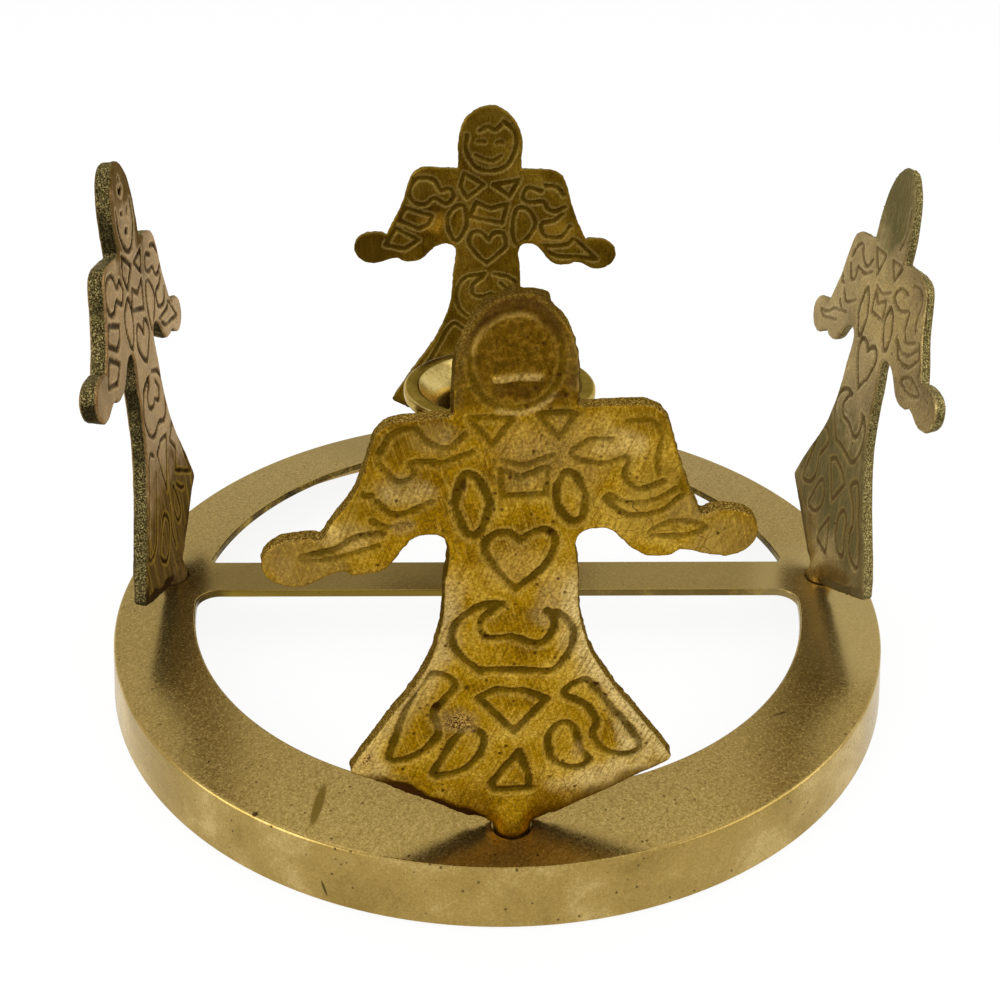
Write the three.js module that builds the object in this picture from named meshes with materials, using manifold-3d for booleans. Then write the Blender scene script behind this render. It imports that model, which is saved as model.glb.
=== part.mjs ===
// Brass taper candle holder: a skirted ring with one crossbar carries a turned
// candle cup on its stem, and four flat cast angels stand round the ring.
// Millimetres, +Z up. The origin is the centre of the ring, on the table.
import * as THREE from "three";
import { mergeVertices } from "three/addons/utils/BufferGeometryUtils.js";
import Module from "manifold-3d";

const wasm = await Module();
wasm.setup();

// Driving dimensions

const seatGap = 0.3; // left between two pieces that seat on each other
const threadGap = 0.2; // all round a screw in its tapped hole
const shankGap = 0.4; // all round a screw in a clearance hole
const cutPast = 1; // how far a cutter runs past the face it cuts

const ring = {
  topRadius: 75, // outside of the rim at the top
  flare: 1.6, // how much further out the drafted wall stands on the table
  plateWidth: 14.7, // flat top, from the outside in to the windows
  height: 10.6, // table to the top of the plate
  plate: 1.6, // thickness of the flat top and of the crossbar
  skirtWall: 2.2, // thickness of the turned-down rim
  edgeRound: 0.6, // softened top edge of the rim
  footChamfer: 0.4, // broken edges where the rim stands
  rootFillet: 1.2, // inside corner between plate and rim
};

const crossbar = {
  width: 10.5,
  frontFillet: 3.6, // corners of the front window
  backFillet: 1.4, // corners of the back window
  rootDepth: 2, // how far the ends run into the ring's plate
};

const angel = {
  footInset: 8.6, // outside of the ring's top to the middle of the foot
  height: 81.6, // ring to the crown of the head
  thickness: 2.9,
  draft: 0.3, // the outer face is this much smaller all round than the inner one
  edgeBreak: 0.4, // chamfer round both faces
  headWidth: 14.8,
  shoulderHeight: 67.5,
  shoulderFlat: 13.2, // half width of the level part of the shoulders
  shoulderDrop: 5.6, // level shoulder to the top of the wing's outer edge
  shoulderWidth: 38.2,
  wingSpan: 62.8,
  handHeight: 48.8, // middle of the round wing tip
  handLength: 4.4, // half the tip along the span
  handDepth: 7.4, // the tip across
  wristWidth: 47.6, // across the two notches above the tips
  wristRise: 3.2, // notch above the middle of the tip
  featherWidth: 35.8, // across the low feathers under the wings
  featherHeight: 45.8,
  cleftWidth: 42.4, // across the small clefts between feather and tip
  cleftHeight: 46.6,
  armpitWidth: 19.5,
  armpitHeight: 50.6,
  waistWidth: 16.2,
  waistHeight: 42.8,
  skirtWidth: 47,
  skirtHeading: 120, // side of the skirt as it leaves the corner, in degrees
  wingHeading: 118, // outer edge of the wing as it leaves the notch
  shoulderHeading: 106, // outer edge of the wing as it meets the shoulder
  cornerRound: 0.9,
  hemCorner: 11.2, // height of the skirt's corners
  hemPoint: 0.9, // height of the rounded middle of the hem
  hemRound: 6, // half width of the rounded middle
  hemEdge: 1.6, // height at the ends of the rounded middle
};

const boss = {
  radius: 2.8, // round foot under the hem
  height: 2.4, // straight part, above the ring
  dome: 2.6, // blend from the foot into the plate
  domeRadius: 1.1,
  sink: 0.7, // depth of the spot face that locates it in the ring
  tapDepth: 3, // tapped hole, above the ring
};

// Each angel as it was cut and set by hand, seen from outside the ring. Its
// station round the ring, turn about its screw, outward lean and sideways tilt
// are in degrees. The rest is in millimetres: what was filed off the outer face,
// the arch of the crown above the temples and what each side adds to the pattern.
const settings = [
  {
    name: "front", station: -89.1, turn: 2.8, lean: -0.3, tilt: 0.2, filed: 0.6, crown: 11.4,
    left: {
      wingOut: 0.5, wingUp: -1.5, shoulderOut: -1, shoulderUp: -0.6, headOut: 0.3, waistOut: 1.2, cornerUp: 1,
    },
    right: {
      wingOut: -0.2, wingUp: 0.6, shoulderOut: 1, shoulderUp: 0.3, headOut: 0.1, waistOut: 0.4, cornerUp: 0.4,
    },
  },
  {
    name: "right", station: -0.8, turn: 1.1, lean: 2.4, tilt: -0.7, filed: 0.7, crown: 11.4,
    left: {
      wingOut: 0, wingUp: 0.6, shoulderOut: 0, shoulderUp: 0, headOut: 0, waistOut: 0, cornerUp: -1.2,
    },
    right: {
      wingOut: 0, wingUp: -1.4, shoulderOut: 0, shoulderUp: 0.3, headOut: 0, waistOut: 0, cornerUp: 0.8,
    },
  },
  {
    name: "back", station: 92.6, turn: 2, lean: 0.8, tilt: 1.1, filed: 0, crown: 8.8,
    left: {
      wingOut: 0, wingUp: -0.6, shoulderOut: 0, shoulderUp: 0.5, headOut: 0.3, waistOut: 0.2, cornerUp: 0,
    },
    right: {
      wingOut: 0, wingUp: 0.8, shoulderOut: 0, shoulderUp: 0.5, headOut: -0.3, waistOut: 0, cornerUp: -0.4,
    },
  },
  {
    name: "left", station: 180.1, turn: 3.2, lean: -0.4, tilt: 1.9, filed: 0, crown: 10,
    left: {
      wingOut: 0, wingUp: -1.8, shoulderOut: 0, shoulderUp: 0, headOut: 0, waistOut: 0, cornerUp: 0.1,
    },
    right: {
      wingOut: 0, wingUp: 0.5, shoulderOut: 0, shoulderUp: 0, headOut: -0.3, waistOut: 0, cornerUp: -3.3,
    },
  },
];

const stem = {
  height: 15.2,
  footRadius: 5.2,
  footEdge: 1.5,
  neckRadius: 4,
  knopRadius: 5.8,
  knopHeight: 8.2,
  knopDepth: 3.8,
  seatRadius: 6,
  seatEdge: 1.3,
};

const cup = {
  height: 27,
  neckRadius: 6,
  neckEdge: 1.1,
  bowlRadius: 13.4,
  bowlHeight: 8.6,
  throatRadius: 13.8, // outside, where the bowl turns out into the lip
  throatHeight: 19.5,
  throatHeading: 70,
  rimRadius: 17.75,
  lipWidth: 2.7,
  lipThick: 2.4,
  lipRound: 0.8,
  socketRadius: 11.2, // mouth of the candle socket
  socketFloorRadius: 10.8,
  funnelDepth: 5.7, // lip to the mouth of the socket
  socketFloor: 5.6, // thickness of metal under the socket
  tapDepth: 3.9,
};

const stemScrew = {
  radius: 2.4,
  tipChamfer: 0.9,
  headRadius: 4.3,
  headFlat: 2.6, // radius of the flat slotted end
  headHeight: 2.6,
  slotWidth: 1.1,
  slotDepth: 1.2,
  tipGap: 0.6, // screw tip to the end of the tapped hole
};
const stemWasher = { radius: 5, thickness: 0.9 };
const angelScrew = {
  radius: 1.35,
  tipChamfer: 0.5,
  headRadius: 2.7,
  headFlat: 1.6,
  headHeight: 1.8,
  slotWidth: 0.8,
  slotDepth: 0.8,
  tipGap: 0.5,
};

// Circles of the ring, and levels above the table, that several pieces share
const innerRadius = ring.topRadius - ring.plateWidth;
const stationRadius = ring.topRadius - angel.footInset;
const plateTop = ring.height;
const plateUnder = ring.height - ring.plate;
const stemBase = plateTop + seatGap;
const cupBase = stemBase + stem.height + seatGap;

// Facets round the revolved pieces, and along one curve of an outline
const ringSegments = 96;
const turnedSegments = 36;
const screwSegments = 16;
const curveSteps = 4;

// Headings of a curve, in degrees
const rightward = 0;
const upward = 90;
const leftward = 180;

// Materials

const castBrass = { color: 0x9a7a32, roughness: 0.42, metalness: 1 };
const ringBrass = { color: 0xa98d4c, roughness: 0.34, metalness: 1 };
const turnedBrass = { color: 0xc9b070, roughness: 0.2, metalness: 1 };
const screwBrass = { color: 0xb59a58, roughness: 0.4, metalness: 1 };

// Geometry helpers

function solidOf(geometry) {
  const bare = geometry.clone();
  bare.deleteAttribute("normal");
  bare.deleteAttribute("uv");
  const merged = mergeVertices(bare);
  const corners = [];
  for (let i = 0; i < merged.index.count; i += 3) {
    const [a, b, c] = [0, 1, 2].map((k) => merged.index.getX(i + k));
    const flat = a === b || b === c || c === a;
    if (!flat) corners.push(a, b, c);
  }
  const mesh = new wasm.Mesh({
    numProp: 3,
    vertProperties: merged.attributes.position.array,
    triVerts: new Uint32Array(corners),
  });
  return new wasm.Manifold(mesh);
}

function meshOf(name, solid, finish) {
  const { vertProperties, triVerts } = solid.getMesh();
  const geometry = new THREE.BufferGeometry();
  geometry.setAttribute("position", new THREE.BufferAttribute(vertProperties, 3));
  geometry.setIndex(new THREE.BufferAttribute(triVerts, 1));
  geometry.computeVertexNormals();
  const mesh = new THREE.Mesh(geometry, new THREE.MeshStandardMaterial(finish));
  mesh.name = name;
  return mesh;
}

// Curve from the end of a path to (x, y), given the headings at which it leaves
// and arrives. A longer pull makes a fuller curve.
function sweepTo(path, leave, x, y, arrive, pull = 0.4) {
  const start = path.currentPoint;
  const reach = pull * Math.hypot(x - start.x, y - start.y);
  const from = THREE.MathUtils.degToRad(leave);
  const to = THREE.MathUtils.degToRad(arrive);
  path.bezierCurveTo(
    start.x + reach * Math.cos(from), start.y + reach * Math.sin(from),
    x - reach * Math.cos(to), y - reach * Math.sin(to), x, y);
}

// Revolves a path of (radius, height) about Z. The path climbs its outside.
function revolve(path, segments, steps = curveSteps) {
  const lathe = new THREE.LatheGeometry(path.getPoints(steps), segments);
  return solidOf(lathe.rotateX(Math.PI / 2));
}

function disc(radius, bottom, top, segments) {
  const profile = new THREE.Path();
  profile.moveTo(0, bottom);
  profile.lineTo(radius, bottom);
  profile.lineTo(radius, top);
  profile.lineTo(0, top);
  return revolve(profile, segments);
}

// Closed outline from two halves. Both start and end on x = 0 and are drawn on the
// right, and the left one is mirrored.
function outlineOfHalves(leftHalf, rightHalf) {
  const right = rightHalf.getPoints(curveSteps);
  const left = leftHalf.getPoints(curveSteps).slice(1, -1).reverse();
  return [...right, ...left.map((point) => new THREE.Vector2(-point.x, point.y))];
}

// Solid through copies of one outline, from the lowest layer to the highest. Each
// layer lies at its own height and is drawn in all round by its inset.
function loft(outline, layers) {
  const count = outline.length;
  const edgeNormals = outline.map((point, i) => {
    const along = outline[(i + 1) % count].clone().sub(point).normalize();
    return new THREE.Vector2(along.y, -along.x);
  });
  const miters = edgeNormals.map((after, i) => {
    const before = edgeNormals[(i + count - 1) % count];
    return before.clone().add(after).divideScalar(1 + before.dot(after));
  });
  const positions = [];
  for (const { inset, height } of layers) {
    outline.forEach((point, i) => {
      positions.push(point.x - inset * miters[i].x, point.y - inset * miters[i].y, height);
    });
  }
  const top = count * (layers.length - 1);
  const index = [];
  for (let a = 0; a < top; a += 1) {
    const b = (a + 1) % count === 0 ? a + 1 - count : a + 1;
    index.push(a, b, b + count, a, b + count, a + count);
  }
  for (const [a, b, c] of THREE.ShapeUtils.triangulateShape(outline, [])) {
    index.push(c, b, a, top + a, top + b, top + c);
  }
  const geometry = new THREE.BufferGeometry();
  geometry.setAttribute("position", new THREE.Float32BufferAttribute(positions, 3));
  geometry.setIndex(index);
  return geometry;
}

// Moves a solid from the origin to an angel's foot: x along the ring, y inward.
function atStation(solid, setting) {
  const angle = THREE.MathUtils.degToRad(setting.station);
  const x = stationRadius * Math.cos(angle);
  const y = stationRadius * Math.sin(angle);
  return solid.rotate([0, 0, setting.station + 90]).translate([x, y, 0]);
}

// Ring base: plate, turned-down rim and crossbar, one casting

function ringBody() {
  const { topRadius, flare, skirtWall, edgeRound, footChamfer, rootFillet } = ring;
  const footRadius = topRadius + flare;
  const draft = flare / ring.height;
  const outside = (z) => footRadius - draft * z;
  const inside = (z) => outside(z) - skirtWall;
  const wallHeading = upward + THREE.MathUtils.radToDeg(Math.atan(draft));
  const edge = plateTop - edgeRound;
  const root = plateUnder - rootFillet;
  const profile = new THREE.Path();
  profile.moveTo(innerRadius, plateUnder);
  profile.lineTo(inside(root) - rootFillet, plateUnder);
  sweepTo(profile, rightward, inside(root), root, wallHeading + 180);
  profile.lineTo(inside(footChamfer), footChamfer);
  profile.lineTo(inside(0) + footChamfer, 0);
  profile.lineTo(footRadius - footChamfer, 0);
  profile.lineTo(outside(footChamfer), footChamfer);
  profile.lineTo(outside(edge), edge);
  sweepTo(profile, wallHeading, topRadius - edgeRound, plateTop, leftward);
  profile.lineTo(innerRadius, plateTop);
  profile.lineTo(innerRadius, plateUnder);
  return revolve(profile, ringSegments, 2);
}

// Corner between the crossbar's side and the ring: an arc tangent to both.
function cornerArc(fillet) {
  const side = crossbar.width / 2 + fillet;
  const reach = innerRadius - fillet;
  const centre = Math.sqrt(reach * reach - side * side);
  return { fillet, side, centre, end: Math.atan2(side, centre) };
}

function crossbarBody() {
  const front = cornerArc(crossbar.frontFillet);
  const back = cornerArc(crossbar.backFillet);
  const root = innerRadius + crossbar.rootDepth;
  const half = new THREE.Path();
  half.moveTo(0, -crossbar.width / 2);
  half.absarc(front.centre, -front.side, front.fillet, Math.PI / 2, -front.end, true);
  half.lineTo(root * Math.cos(front.end), -root * Math.sin(front.end));
  half.lineTo(root * Math.cos(back.end), root * Math.sin(back.end));
  half.absarc(back.centre, back.side, back.fillet, back.end, -Math.PI / 2, true);
  half.lineTo(0, crossbar.width / 2);
  const outline = new THREE.Shape(outlineOfHalves(half, half));
  const bar = new THREE.ExtrudeGeometry(outline, { depth: ring.plate, bevelEnabled: false });
  return solidOf(bar.translate(0, 0, plateUnder));
}

function ringBase() {
  const holeBottom = plateUnder - cutPast;
  const stemHole = disc(stemScrew.radius + shankGap, holeBottom, plateTop + cutPast, screwSegments);
  const footHole = disc(angelScrew.radius + shankGap, holeBottom, plateTop, screwSegments)
    .add(disc(boss.radius + seatGap, plateTop - boss.sink, plateTop + cutPast, screwSegments));
  let base = ringBody().add(crossbarBody()).subtract(stemHole);
  for (const setting of settings) base = base.subtract(atStation(footHole, setting));
  return meshOf("ring_base", base, ringBrass);
}

// Angels: flat castings with a round tapped foot

// Half of the outline, from the middle of the hem up to the crown. The wing bends
// from the armpit, so its tip takes all of what it is raised or stretched by.
function angelHalf({ wingOut, wingUp, shoulderOut, shoulderUp, headOut, waistOut, cornerUp }, crown) {
  const a = angel;
  const corner = a.skirtWidth / 2;
  const cornerY = a.hemCorner + cornerUp;
  const temple = a.height - crown;
  const shoulder = a.shoulderHeight + shoulderUp;
  const head = a.headWidth / 2 + headOut;
  const armpit = a.armpitWidth / 2 + waistOut;
  const tip = a.wingSpan / 2 - a.handLength;
  const handHalf = a.handDepth / 2;
  const wingPoint = (x, y, ease = 0) => {
    const share = (x - armpit) / (tip - armpit);
    return [x + share * wingOut + ease, y + share * wingUp];
  };
  const [handX, handY] = wingPoint(tip, a.handHeight);
  const hemSlope = Math.atan2(cornerY - a.hemEdge, corner - a.hemRound);
  const hemHeading = THREE.MathUtils.radToDeg(hemSlope);
  const half = new THREE.Path();
  half.moveTo(0, a.hemPoint);
  sweepTo(half, rightward, a.hemRound, a.hemEdge, hemHeading);
  half.lineTo(corner - a.cornerRound, cornerY - a.cornerRound * Math.tan(hemSlope));
  sweepTo(half, hemHeading, corner - a.cornerRound / 2, cornerY + a.cornerRound, a.skirtHeading);
  sweepTo(half, a.skirtHeading, a.waistWidth / 2 + waistOut, a.waistHeight, upward);
  sweepTo(half, upward, armpit, a.armpitHeight, rightward, 0.5);
  sweepTo(half, rightward, ...wingPoint(a.featherWidth / 2, a.featherHeight), rightward);
  sweepTo(half, rightward, ...wingPoint(a.cleftWidth / 2, a.cleftHeight), upward / 2);
  sweepTo(half, rightward, handX, handY - handHalf, rightward);
  half.absellipse(handX, handY, a.handLength, handHalf, -Math.PI / 2, Math.PI / 2, false, 0);
  const wrist = wingPoint(a.wristWidth / 2, a.handHeight + a.wristRise);
  sweepTo(half, leftward, ...wrist, leftward + upward / 2);
  const wingTop = wingPoint(a.shoulderWidth / 2, shoulder - a.shoulderDrop, shoulderOut);
  sweepTo(half, a.wingHeading, ...wingTop, a.shoulderHeading);
  const shoulderEnd = wingPoint(a.shoulderFlat, shoulder, shoulderOut);
  sweepTo(half, a.shoulderHeading, ...shoulderEnd, leftward, 0.5);
  half.lineTo(head, shoulder);
  half.lineTo(head, temple);
  half.absellipse(0, temple, head, crown, 0, Math.PI / 2, false, 0);
  return half;
}

// The plate, standing in the XZ plane with its outer face towards -y and the middle
// of its unfiled thickness on y = 0.
function angelPlate({ left, right, filed, crown }) {
  const { thickness, draft, edgeBreak } = angel;
  const outer = thickness / 2 - filed;
  const plate = loft(outlineOfHalves(angelHalf(left, crown), angelHalf(right, crown)), [
    { height: -thickness / 2, inset: edgeBreak },
    { height: -thickness / 2 + edgeBreak, inset: 0 },
    { height: outer - edgeBreak, inset: draft },
    { height: outer, inset: draft + edgeBreak },
  ]);
  return solidOf(plate.rotateX(Math.PI / 2));
}

function bossBody() {
  const bottom = seatGap - boss.sink;
  const top = boss.height + boss.dome;
  const profile = new THREE.Path();
  profile.moveTo(0, bottom);
  profile.lineTo(boss.radius, bottom);
  profile.lineTo(boss.radius, boss.height);
  sweepTo(profile, upward, boss.domeRadius, top, leftward);
  profile.lineTo(0, top);
  const tapped = disc(angelScrew.radius + threadGap, bottom - cutPast, boss.tapDepth, screwSegments);
  return { body: revolve(profile, screwSegments), tapped };
}

function angelMesh(setting) {
  const { body, tapped } = bossBody();
  const plate = angelPlate(setting).rotate([setting.lean, -setting.tilt, 0]);
  const standing = plate.add(body).subtract(tapped).translate([0, 0, plateTop]);
  const turned = standing.rotate([0, 0, setting.turn]);
  return meshOf(`angel_${setting.name}`, atStation(turned, setting), castBrass);
}

// Slotted round-head screws, put in from below

function slottedScrew(size, headTop, tip) {
  const bottom = headTop - size.headHeight;
  const profile = new THREE.Path();
  profile.moveTo(0, bottom);
  profile.lineTo(size.headFlat, bottom);
  sweepTo(profile, rightward, size.headRadius, headTop, upward);
  profile.lineTo(size.radius, headTop);
  profile.lineTo(size.radius, tip - size.tipChamfer);
  profile.lineTo(size.radius - size.tipChamfer, tip);
  profile.lineTo(0, tip);
  const across = 2 * (size.headRadius + cutPast);
  const slot = new THREE.BoxGeometry(across, size.slotWidth, 2 * size.slotDepth).translate(0, 0, bottom);
  return revolve(profile, screwSegments, 3).subtract(solidOf(slot));
}

function angelScrewMesh(setting) {
  const tip = plateTop + boss.tapDepth - angelScrew.tipGap;
  const screw = slottedScrew(angelScrew, plateUnder - seatGap, tip);
  return meshOf(`angel_screw_${setting.name}`, atStation(screw, setting), screwBrass);
}

function stemScrewMesh() {
  const headTop = plateUnder - 2 * seatGap - stemWasher.thickness;
  const tip = cupBase + cup.tapDepth - stemScrew.tipGap;
  return meshOf("stem_screw", slottedScrew(stemScrew, headTop, tip), screwBrass);
}

function stemWasherMesh() {
  const top = plateUnder - seatGap;
  const bottom = top - stemWasher.thickness;
  const hole = disc(stemScrew.radius + shankGap, bottom - cutPast, top + cutPast, screwSegments);
  const washer = disc(stemWasher.radius, bottom, top, turnedSegments).subtract(hole);
  return meshOf("stem_washer", washer, screwBrass);
}

// Turned stem, bored for its screw: foot, knop and seat for the cup

function stemMesh() {
  const s = stem;
  const seatUnder = s.height - s.seatEdge;
  const knopHalf = s.knopDepth / 2;
  const knopOut = s.knopRadius - s.neckRadius;
  const profile = new THREE.Path();
  profile.moveTo(0, 0);
  profile.lineTo(s.footRadius, 0);
  profile.lineTo(s.footRadius, s.footEdge);
  sweepTo(profile, leftward, s.neckRadius, s.knopHeight - knopHalf, upward, 0.5);
  profile.absellipse(s.neckRadius, s.knopHeight, knopOut, knopHalf, -Math.PI / 2, Math.PI / 2, false, 0);
  sweepTo(profile, upward, s.seatRadius, seatUnder, rightward, 0.5);
  profile.lineTo(s.seatRadius, s.height);
  profile.lineTo(0, s.height);
  const bore = disc(stemScrew.radius + shankGap, -cutPast, s.height + cutPast, screwSegments);
  const body = revolve(profile, turnedSegments).subtract(bore);
  return meshOf("stem", body.translate([0, 0, stemBase]), turnedBrass);
}

// Turned candle cup: tapped base, tulip bowl, flat lip, funnel and socket

function cupMesh() {
  const c = cup;
  const lipUnder = c.height - c.lipThick;
  const lipEdge = c.rimRadius - c.lipRound;
  const mouth = c.height - c.funnelDepth;
  const profile = new THREE.Path();
  profile.moveTo(0, 0);
  profile.lineTo(c.neckRadius, 0);
  profile.lineTo(c.neckRadius, c.neckEdge);
  sweepTo(profile, rightward, c.bowlRadius, c.bowlHeight, upward, 0.5);
  sweepTo(profile, upward, c.throatRadius, c.throatHeight, c.throatHeading);
  sweepTo(profile, c.throatHeading, lipEdge, lipUnder, rightward);
  profile.absarc(lipEdge, lipUnder + c.lipRound, c.lipRound, -Math.PI / 2, 0, false);
  profile.absarc(lipEdge, c.height - c.lipRound, c.lipRound, 0, Math.PI / 2, false);
  profile.lineTo(c.rimRadius - c.lipWidth, c.height);
  sweepTo(profile, leftward + upward / 2, c.socketRadius, mouth, -upward);
  profile.lineTo(c.socketFloorRadius, c.socketFloor);
  profile.lineTo(0, c.socketFloor);
  const tapped = disc(stemScrew.radius + threadGap, -cutPast, c.tapDepth, screwSegments);
  const body = revolve(profile, turnedSegments, 3).subtract(tapped);
  return meshOf("candle_cup", body.translate([0, 0, cupBase]), turnedBrass);
}

const candleHolder = new THREE.Group();
candleHolder.name = "angel_taper_candle_holder";
candleHolder.add(ringBase(), stemWasherMesh(), stemScrewMesh(), stemMesh(), cupMesh());
for (const setting of settings) candleHolder.add(angelMesh(setting), angelScrewMesh(setting));

export default candleHolder;
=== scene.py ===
import math
import random

import bmesh
import bpy
import numpy as np
from mathutils import Matrix, Vector, noise
from mathutils.geometry import delaunay_2d_cdt


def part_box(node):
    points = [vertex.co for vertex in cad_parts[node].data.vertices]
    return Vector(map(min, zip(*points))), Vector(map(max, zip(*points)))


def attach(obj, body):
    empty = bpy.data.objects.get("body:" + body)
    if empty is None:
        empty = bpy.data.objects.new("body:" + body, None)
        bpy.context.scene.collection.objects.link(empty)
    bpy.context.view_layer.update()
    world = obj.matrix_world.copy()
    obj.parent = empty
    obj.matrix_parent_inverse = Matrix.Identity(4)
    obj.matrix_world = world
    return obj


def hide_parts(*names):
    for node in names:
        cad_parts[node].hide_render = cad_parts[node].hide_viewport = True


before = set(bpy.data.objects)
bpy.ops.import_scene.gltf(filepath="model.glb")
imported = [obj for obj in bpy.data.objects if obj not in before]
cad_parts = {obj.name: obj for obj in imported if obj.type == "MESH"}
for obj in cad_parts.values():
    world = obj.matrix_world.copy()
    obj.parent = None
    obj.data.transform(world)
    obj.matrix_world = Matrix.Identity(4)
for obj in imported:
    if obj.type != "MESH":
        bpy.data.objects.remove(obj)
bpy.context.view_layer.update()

mm = 0.001  # pieces are drawn in millimetres and kept in metres
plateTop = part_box("ring_base")[1].z / mm  # top of the ring, where the angels stand
scene = bpy.context.scene
scene.view_settings.view_transform = "Standard"
print("frame loaded:", len(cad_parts), "nodes")


# Drawing helpers, all in millimetres

def sweepTo(path, leave, x, y, arrive, pull=0.4, steps=9):
    # curve from the end of the path to (x, y) with its two headings in degrees
    startX, startY = path[-1]
    reach = pull * math.hypot(x - startX, y - startY)
    ax = startX + reach * math.cos(math.radians(leave))
    ay = startY + reach * math.sin(math.radians(leave))
    bx = x - reach * math.cos(math.radians(arrive))
    by = y - reach * math.sin(math.radians(arrive))
    for i in range(1, steps + 1):
        t = i / steps
        u = 1 - t
        path.append((u**3 * startX + 3 * u * u * t * ax + 3 * u * t * t * bx + t**3 * x,
                     u**3 * startY + 3 * u * u * t * ay + 3 * u * t * t * by + t**3 * y))


def arcTo(path, cx, cy, rx, ry, start, end, steps=12):
    for i in range(steps + 1):
        a = math.radians(start + (end - start) * i / steps)
        point = (cx + rx * math.cos(a), cy + ry * math.sin(a))
        if not path or math.dist(point, path[-1]) > 1e-6:
            path.append(point)


def offsetLoop(loop, distance):
    # moves a closed outline to its right by distance: outwards if it runs anticlockwise
    points = np.array(loop)
    along = np.roll(points, -1, 0) - points
    along /= np.linalg.norm(along, axis=1)[:, None]
    after = np.stack([along[:, 1], -along[:, 0]], 1)
    before = np.roll(after, 1, 0)
    miter = (before + after) / np.maximum(1 + (before * after).sum(1), 0.4)[:, None]
    return [tuple(p) for p in points + distance * miter]


def splinePoints(points, closed, steps=8):
    # smooth curve through given points
    pts = [np.array(p, float) for p in points]
    count = len(pts)
    spans = count if closed else count - 1
    out = []
    for i in range(spans):
        p0 = pts[i - 1] if closed or i > 0 else 2 * pts[0] - pts[1]
        p1 = pts[i]
        p2 = pts[(i + 1) % count]
        p3 = pts[(i + 2) % count] if closed or i + 2 < count else 2 * pts[-1] - pts[-2]
        for k in range(steps):
            t = k / steps
            out.append(0.5 * (2 * p1 + (p2 - p0) * t + (2 * p0 - 5 * p1 + 4 * p2 - p3) * t * t
                              + (3 * p1 - p0 - 3 * p2 + p3) * t**3))
    out.append(pts[0] if closed else pts[-1])
    return np.array(out)


def smoothStep(low, high, value):
    t = np.clip((value - low) / (high - low), 0, 1)
    return t * t * (3 - 2 * t)


def noiseAt(points, wavelength, seed):
    shift = Vector((seed * 7.31, seed * 3.17, seed * 5.73))
    return np.array([noise.noise(Vector(p) / wavelength + shift) for p in points.tolist()])


# Mesh helpers

def sharpenByAngle(bm, degrees):
    limit = math.radians(degrees)
    for face in bm.faces:
        face.smooth = True
    for edge in bm.edges:
        edge.smooth = len(edge.link_faces) == 2 and edge.calc_face_angle(0) < limit


def meshFrom(name, bm, sharpAngle=32):
    bmesh.ops.recalc_face_normals(bm, faces=bm.faces)
    sharpenByAngle(bm, sharpAngle)
    bmesh.ops.scale(bm, vec=(mm, mm, mm), verts=bm.verts)
    mesh = bpy.data.meshes.new(name)
    bm.to_mesh(mesh)
    bm.free()
    return mesh


def revolveInto(bm, profile, segments, closed=False):
    # turns (radius, height) points about Z; a point on the axis becomes a pole
    rings = []
    for radius, height in profile:
        if radius < 1e-6:
            rings.append([bm.verts.new((0, 0, height))])
            continue
        turn = [2 * math.pi * k / segments for k in range(segments)]
        rings.append([bm.verts.new((radius * math.cos(a), radius * math.sin(a), height)) for a in turn])
    for low, high in zip(rings, rings[1:] + (rings[:1] if closed else [])):
        for k in range(segments):
            j = (k + 1) % segments
            corners = [low[k % len(low)], low[j % len(low)], high[j % len(high)], high[k % len(high)]]
            unique = list(dict.fromkeys(corners))
            if len(unique) > 2:
                bm.faces.new(unique)
    return rings


def wallsBetween(bm, rings):
    # faces between rings of equally many vertices
    for low, high in zip(rings, rings[1:]):
        for k in range(len(low)):
            j = (k + 1) % len(low)
            bm.faces.new((low[k], low[j], high[j], high[k]))


def stackLoops(bm, loops):
    # walls between loops of equally many points, given as (outline, height)
    rings = [[bm.verts.new((x, y, height)) for x, y in outline] for outline, height in loops]
    wallsBetween(bm, rings)
    return rings


def capWithHoles(bm, outer, holes):
    # flat face between one outer ring of vertices and the rings of its holes
    rings = [outer] + holes
    verts = [v for ring in rings for v in ring]
    loops = []
    start = 0
    for ring in rings:
        loops.append(list(range(start, start + len(ring))))
        start += len(ring)
    edges = [(loop[k], loop[(k + 1) % len(loop)]) for loop in loops for k in range(len(loop))]
    flat = [Vector((v.co.x, v.co.y)) for v in verts]
    faces = delaunay_2d_cdt(flat, edges, [], 1, 1e-7)[2]
    holeAreas = [np.array([flat[i] for i in loop]) for loop in loops[1:]]
    for face in faces:
        middle = sum((flat[i] for i in face), Vector((0, 0))) / len(face)
        if not any(insideLoop(middle, area) for area in holeAreas):
            bm.faces.new([verts[i] for i in face])


def insideLoop(point, loop):
    x, y = point
    after = np.roll(loop, -1, 0)
    crosses = (loop[:, 1] > y) != (after[:, 1] > y)
    rise = np.where(after[:, 1] == loop[:, 1], 1, after[:, 1] - loop[:, 1])
    at = loop[:, 0] + (y - loop[:, 1]) * (after[:, 0] - loop[:, 0]) / rise
    return int((crosses & (at > x)).sum()) % 2 == 1


def addPiece(name, mesh, material):
    piece = bpy.data.objects.new(name, mesh)
    scene.collection.objects.link(piece)
    mesh.materials.append(material)
    return piece


def standFor(piece, node):
    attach(piece, "root")
    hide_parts(node)


def flattenModifiers(piece):
    # keeps the result of the piece's modifiers as its mesh
    bpy.context.view_layer.update()
    seen = piece.evaluated_get(bpy.context.evaluated_depsgraph_get())
    result = bpy.data.meshes.new_from_object(seen)
    old = piece.data
    piece.modifiers.clear()
    piece.data = result
    bpy.data.meshes.remove(old)


# Shader helpers

numberSocket = "NodeSocketFloat"
colourSocket = "NodeSocketColor"


def tint(red, green, blue):
    # colour as a screen shows it, 0 to 255
    parts = [c / 255 for c in (red, green, blue)]
    return tuple(c / 12.92 if c <= 0.04045 else ((c + 0.055) / 1.055) ** 2.4 for c in parts) + (1.0,)


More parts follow.
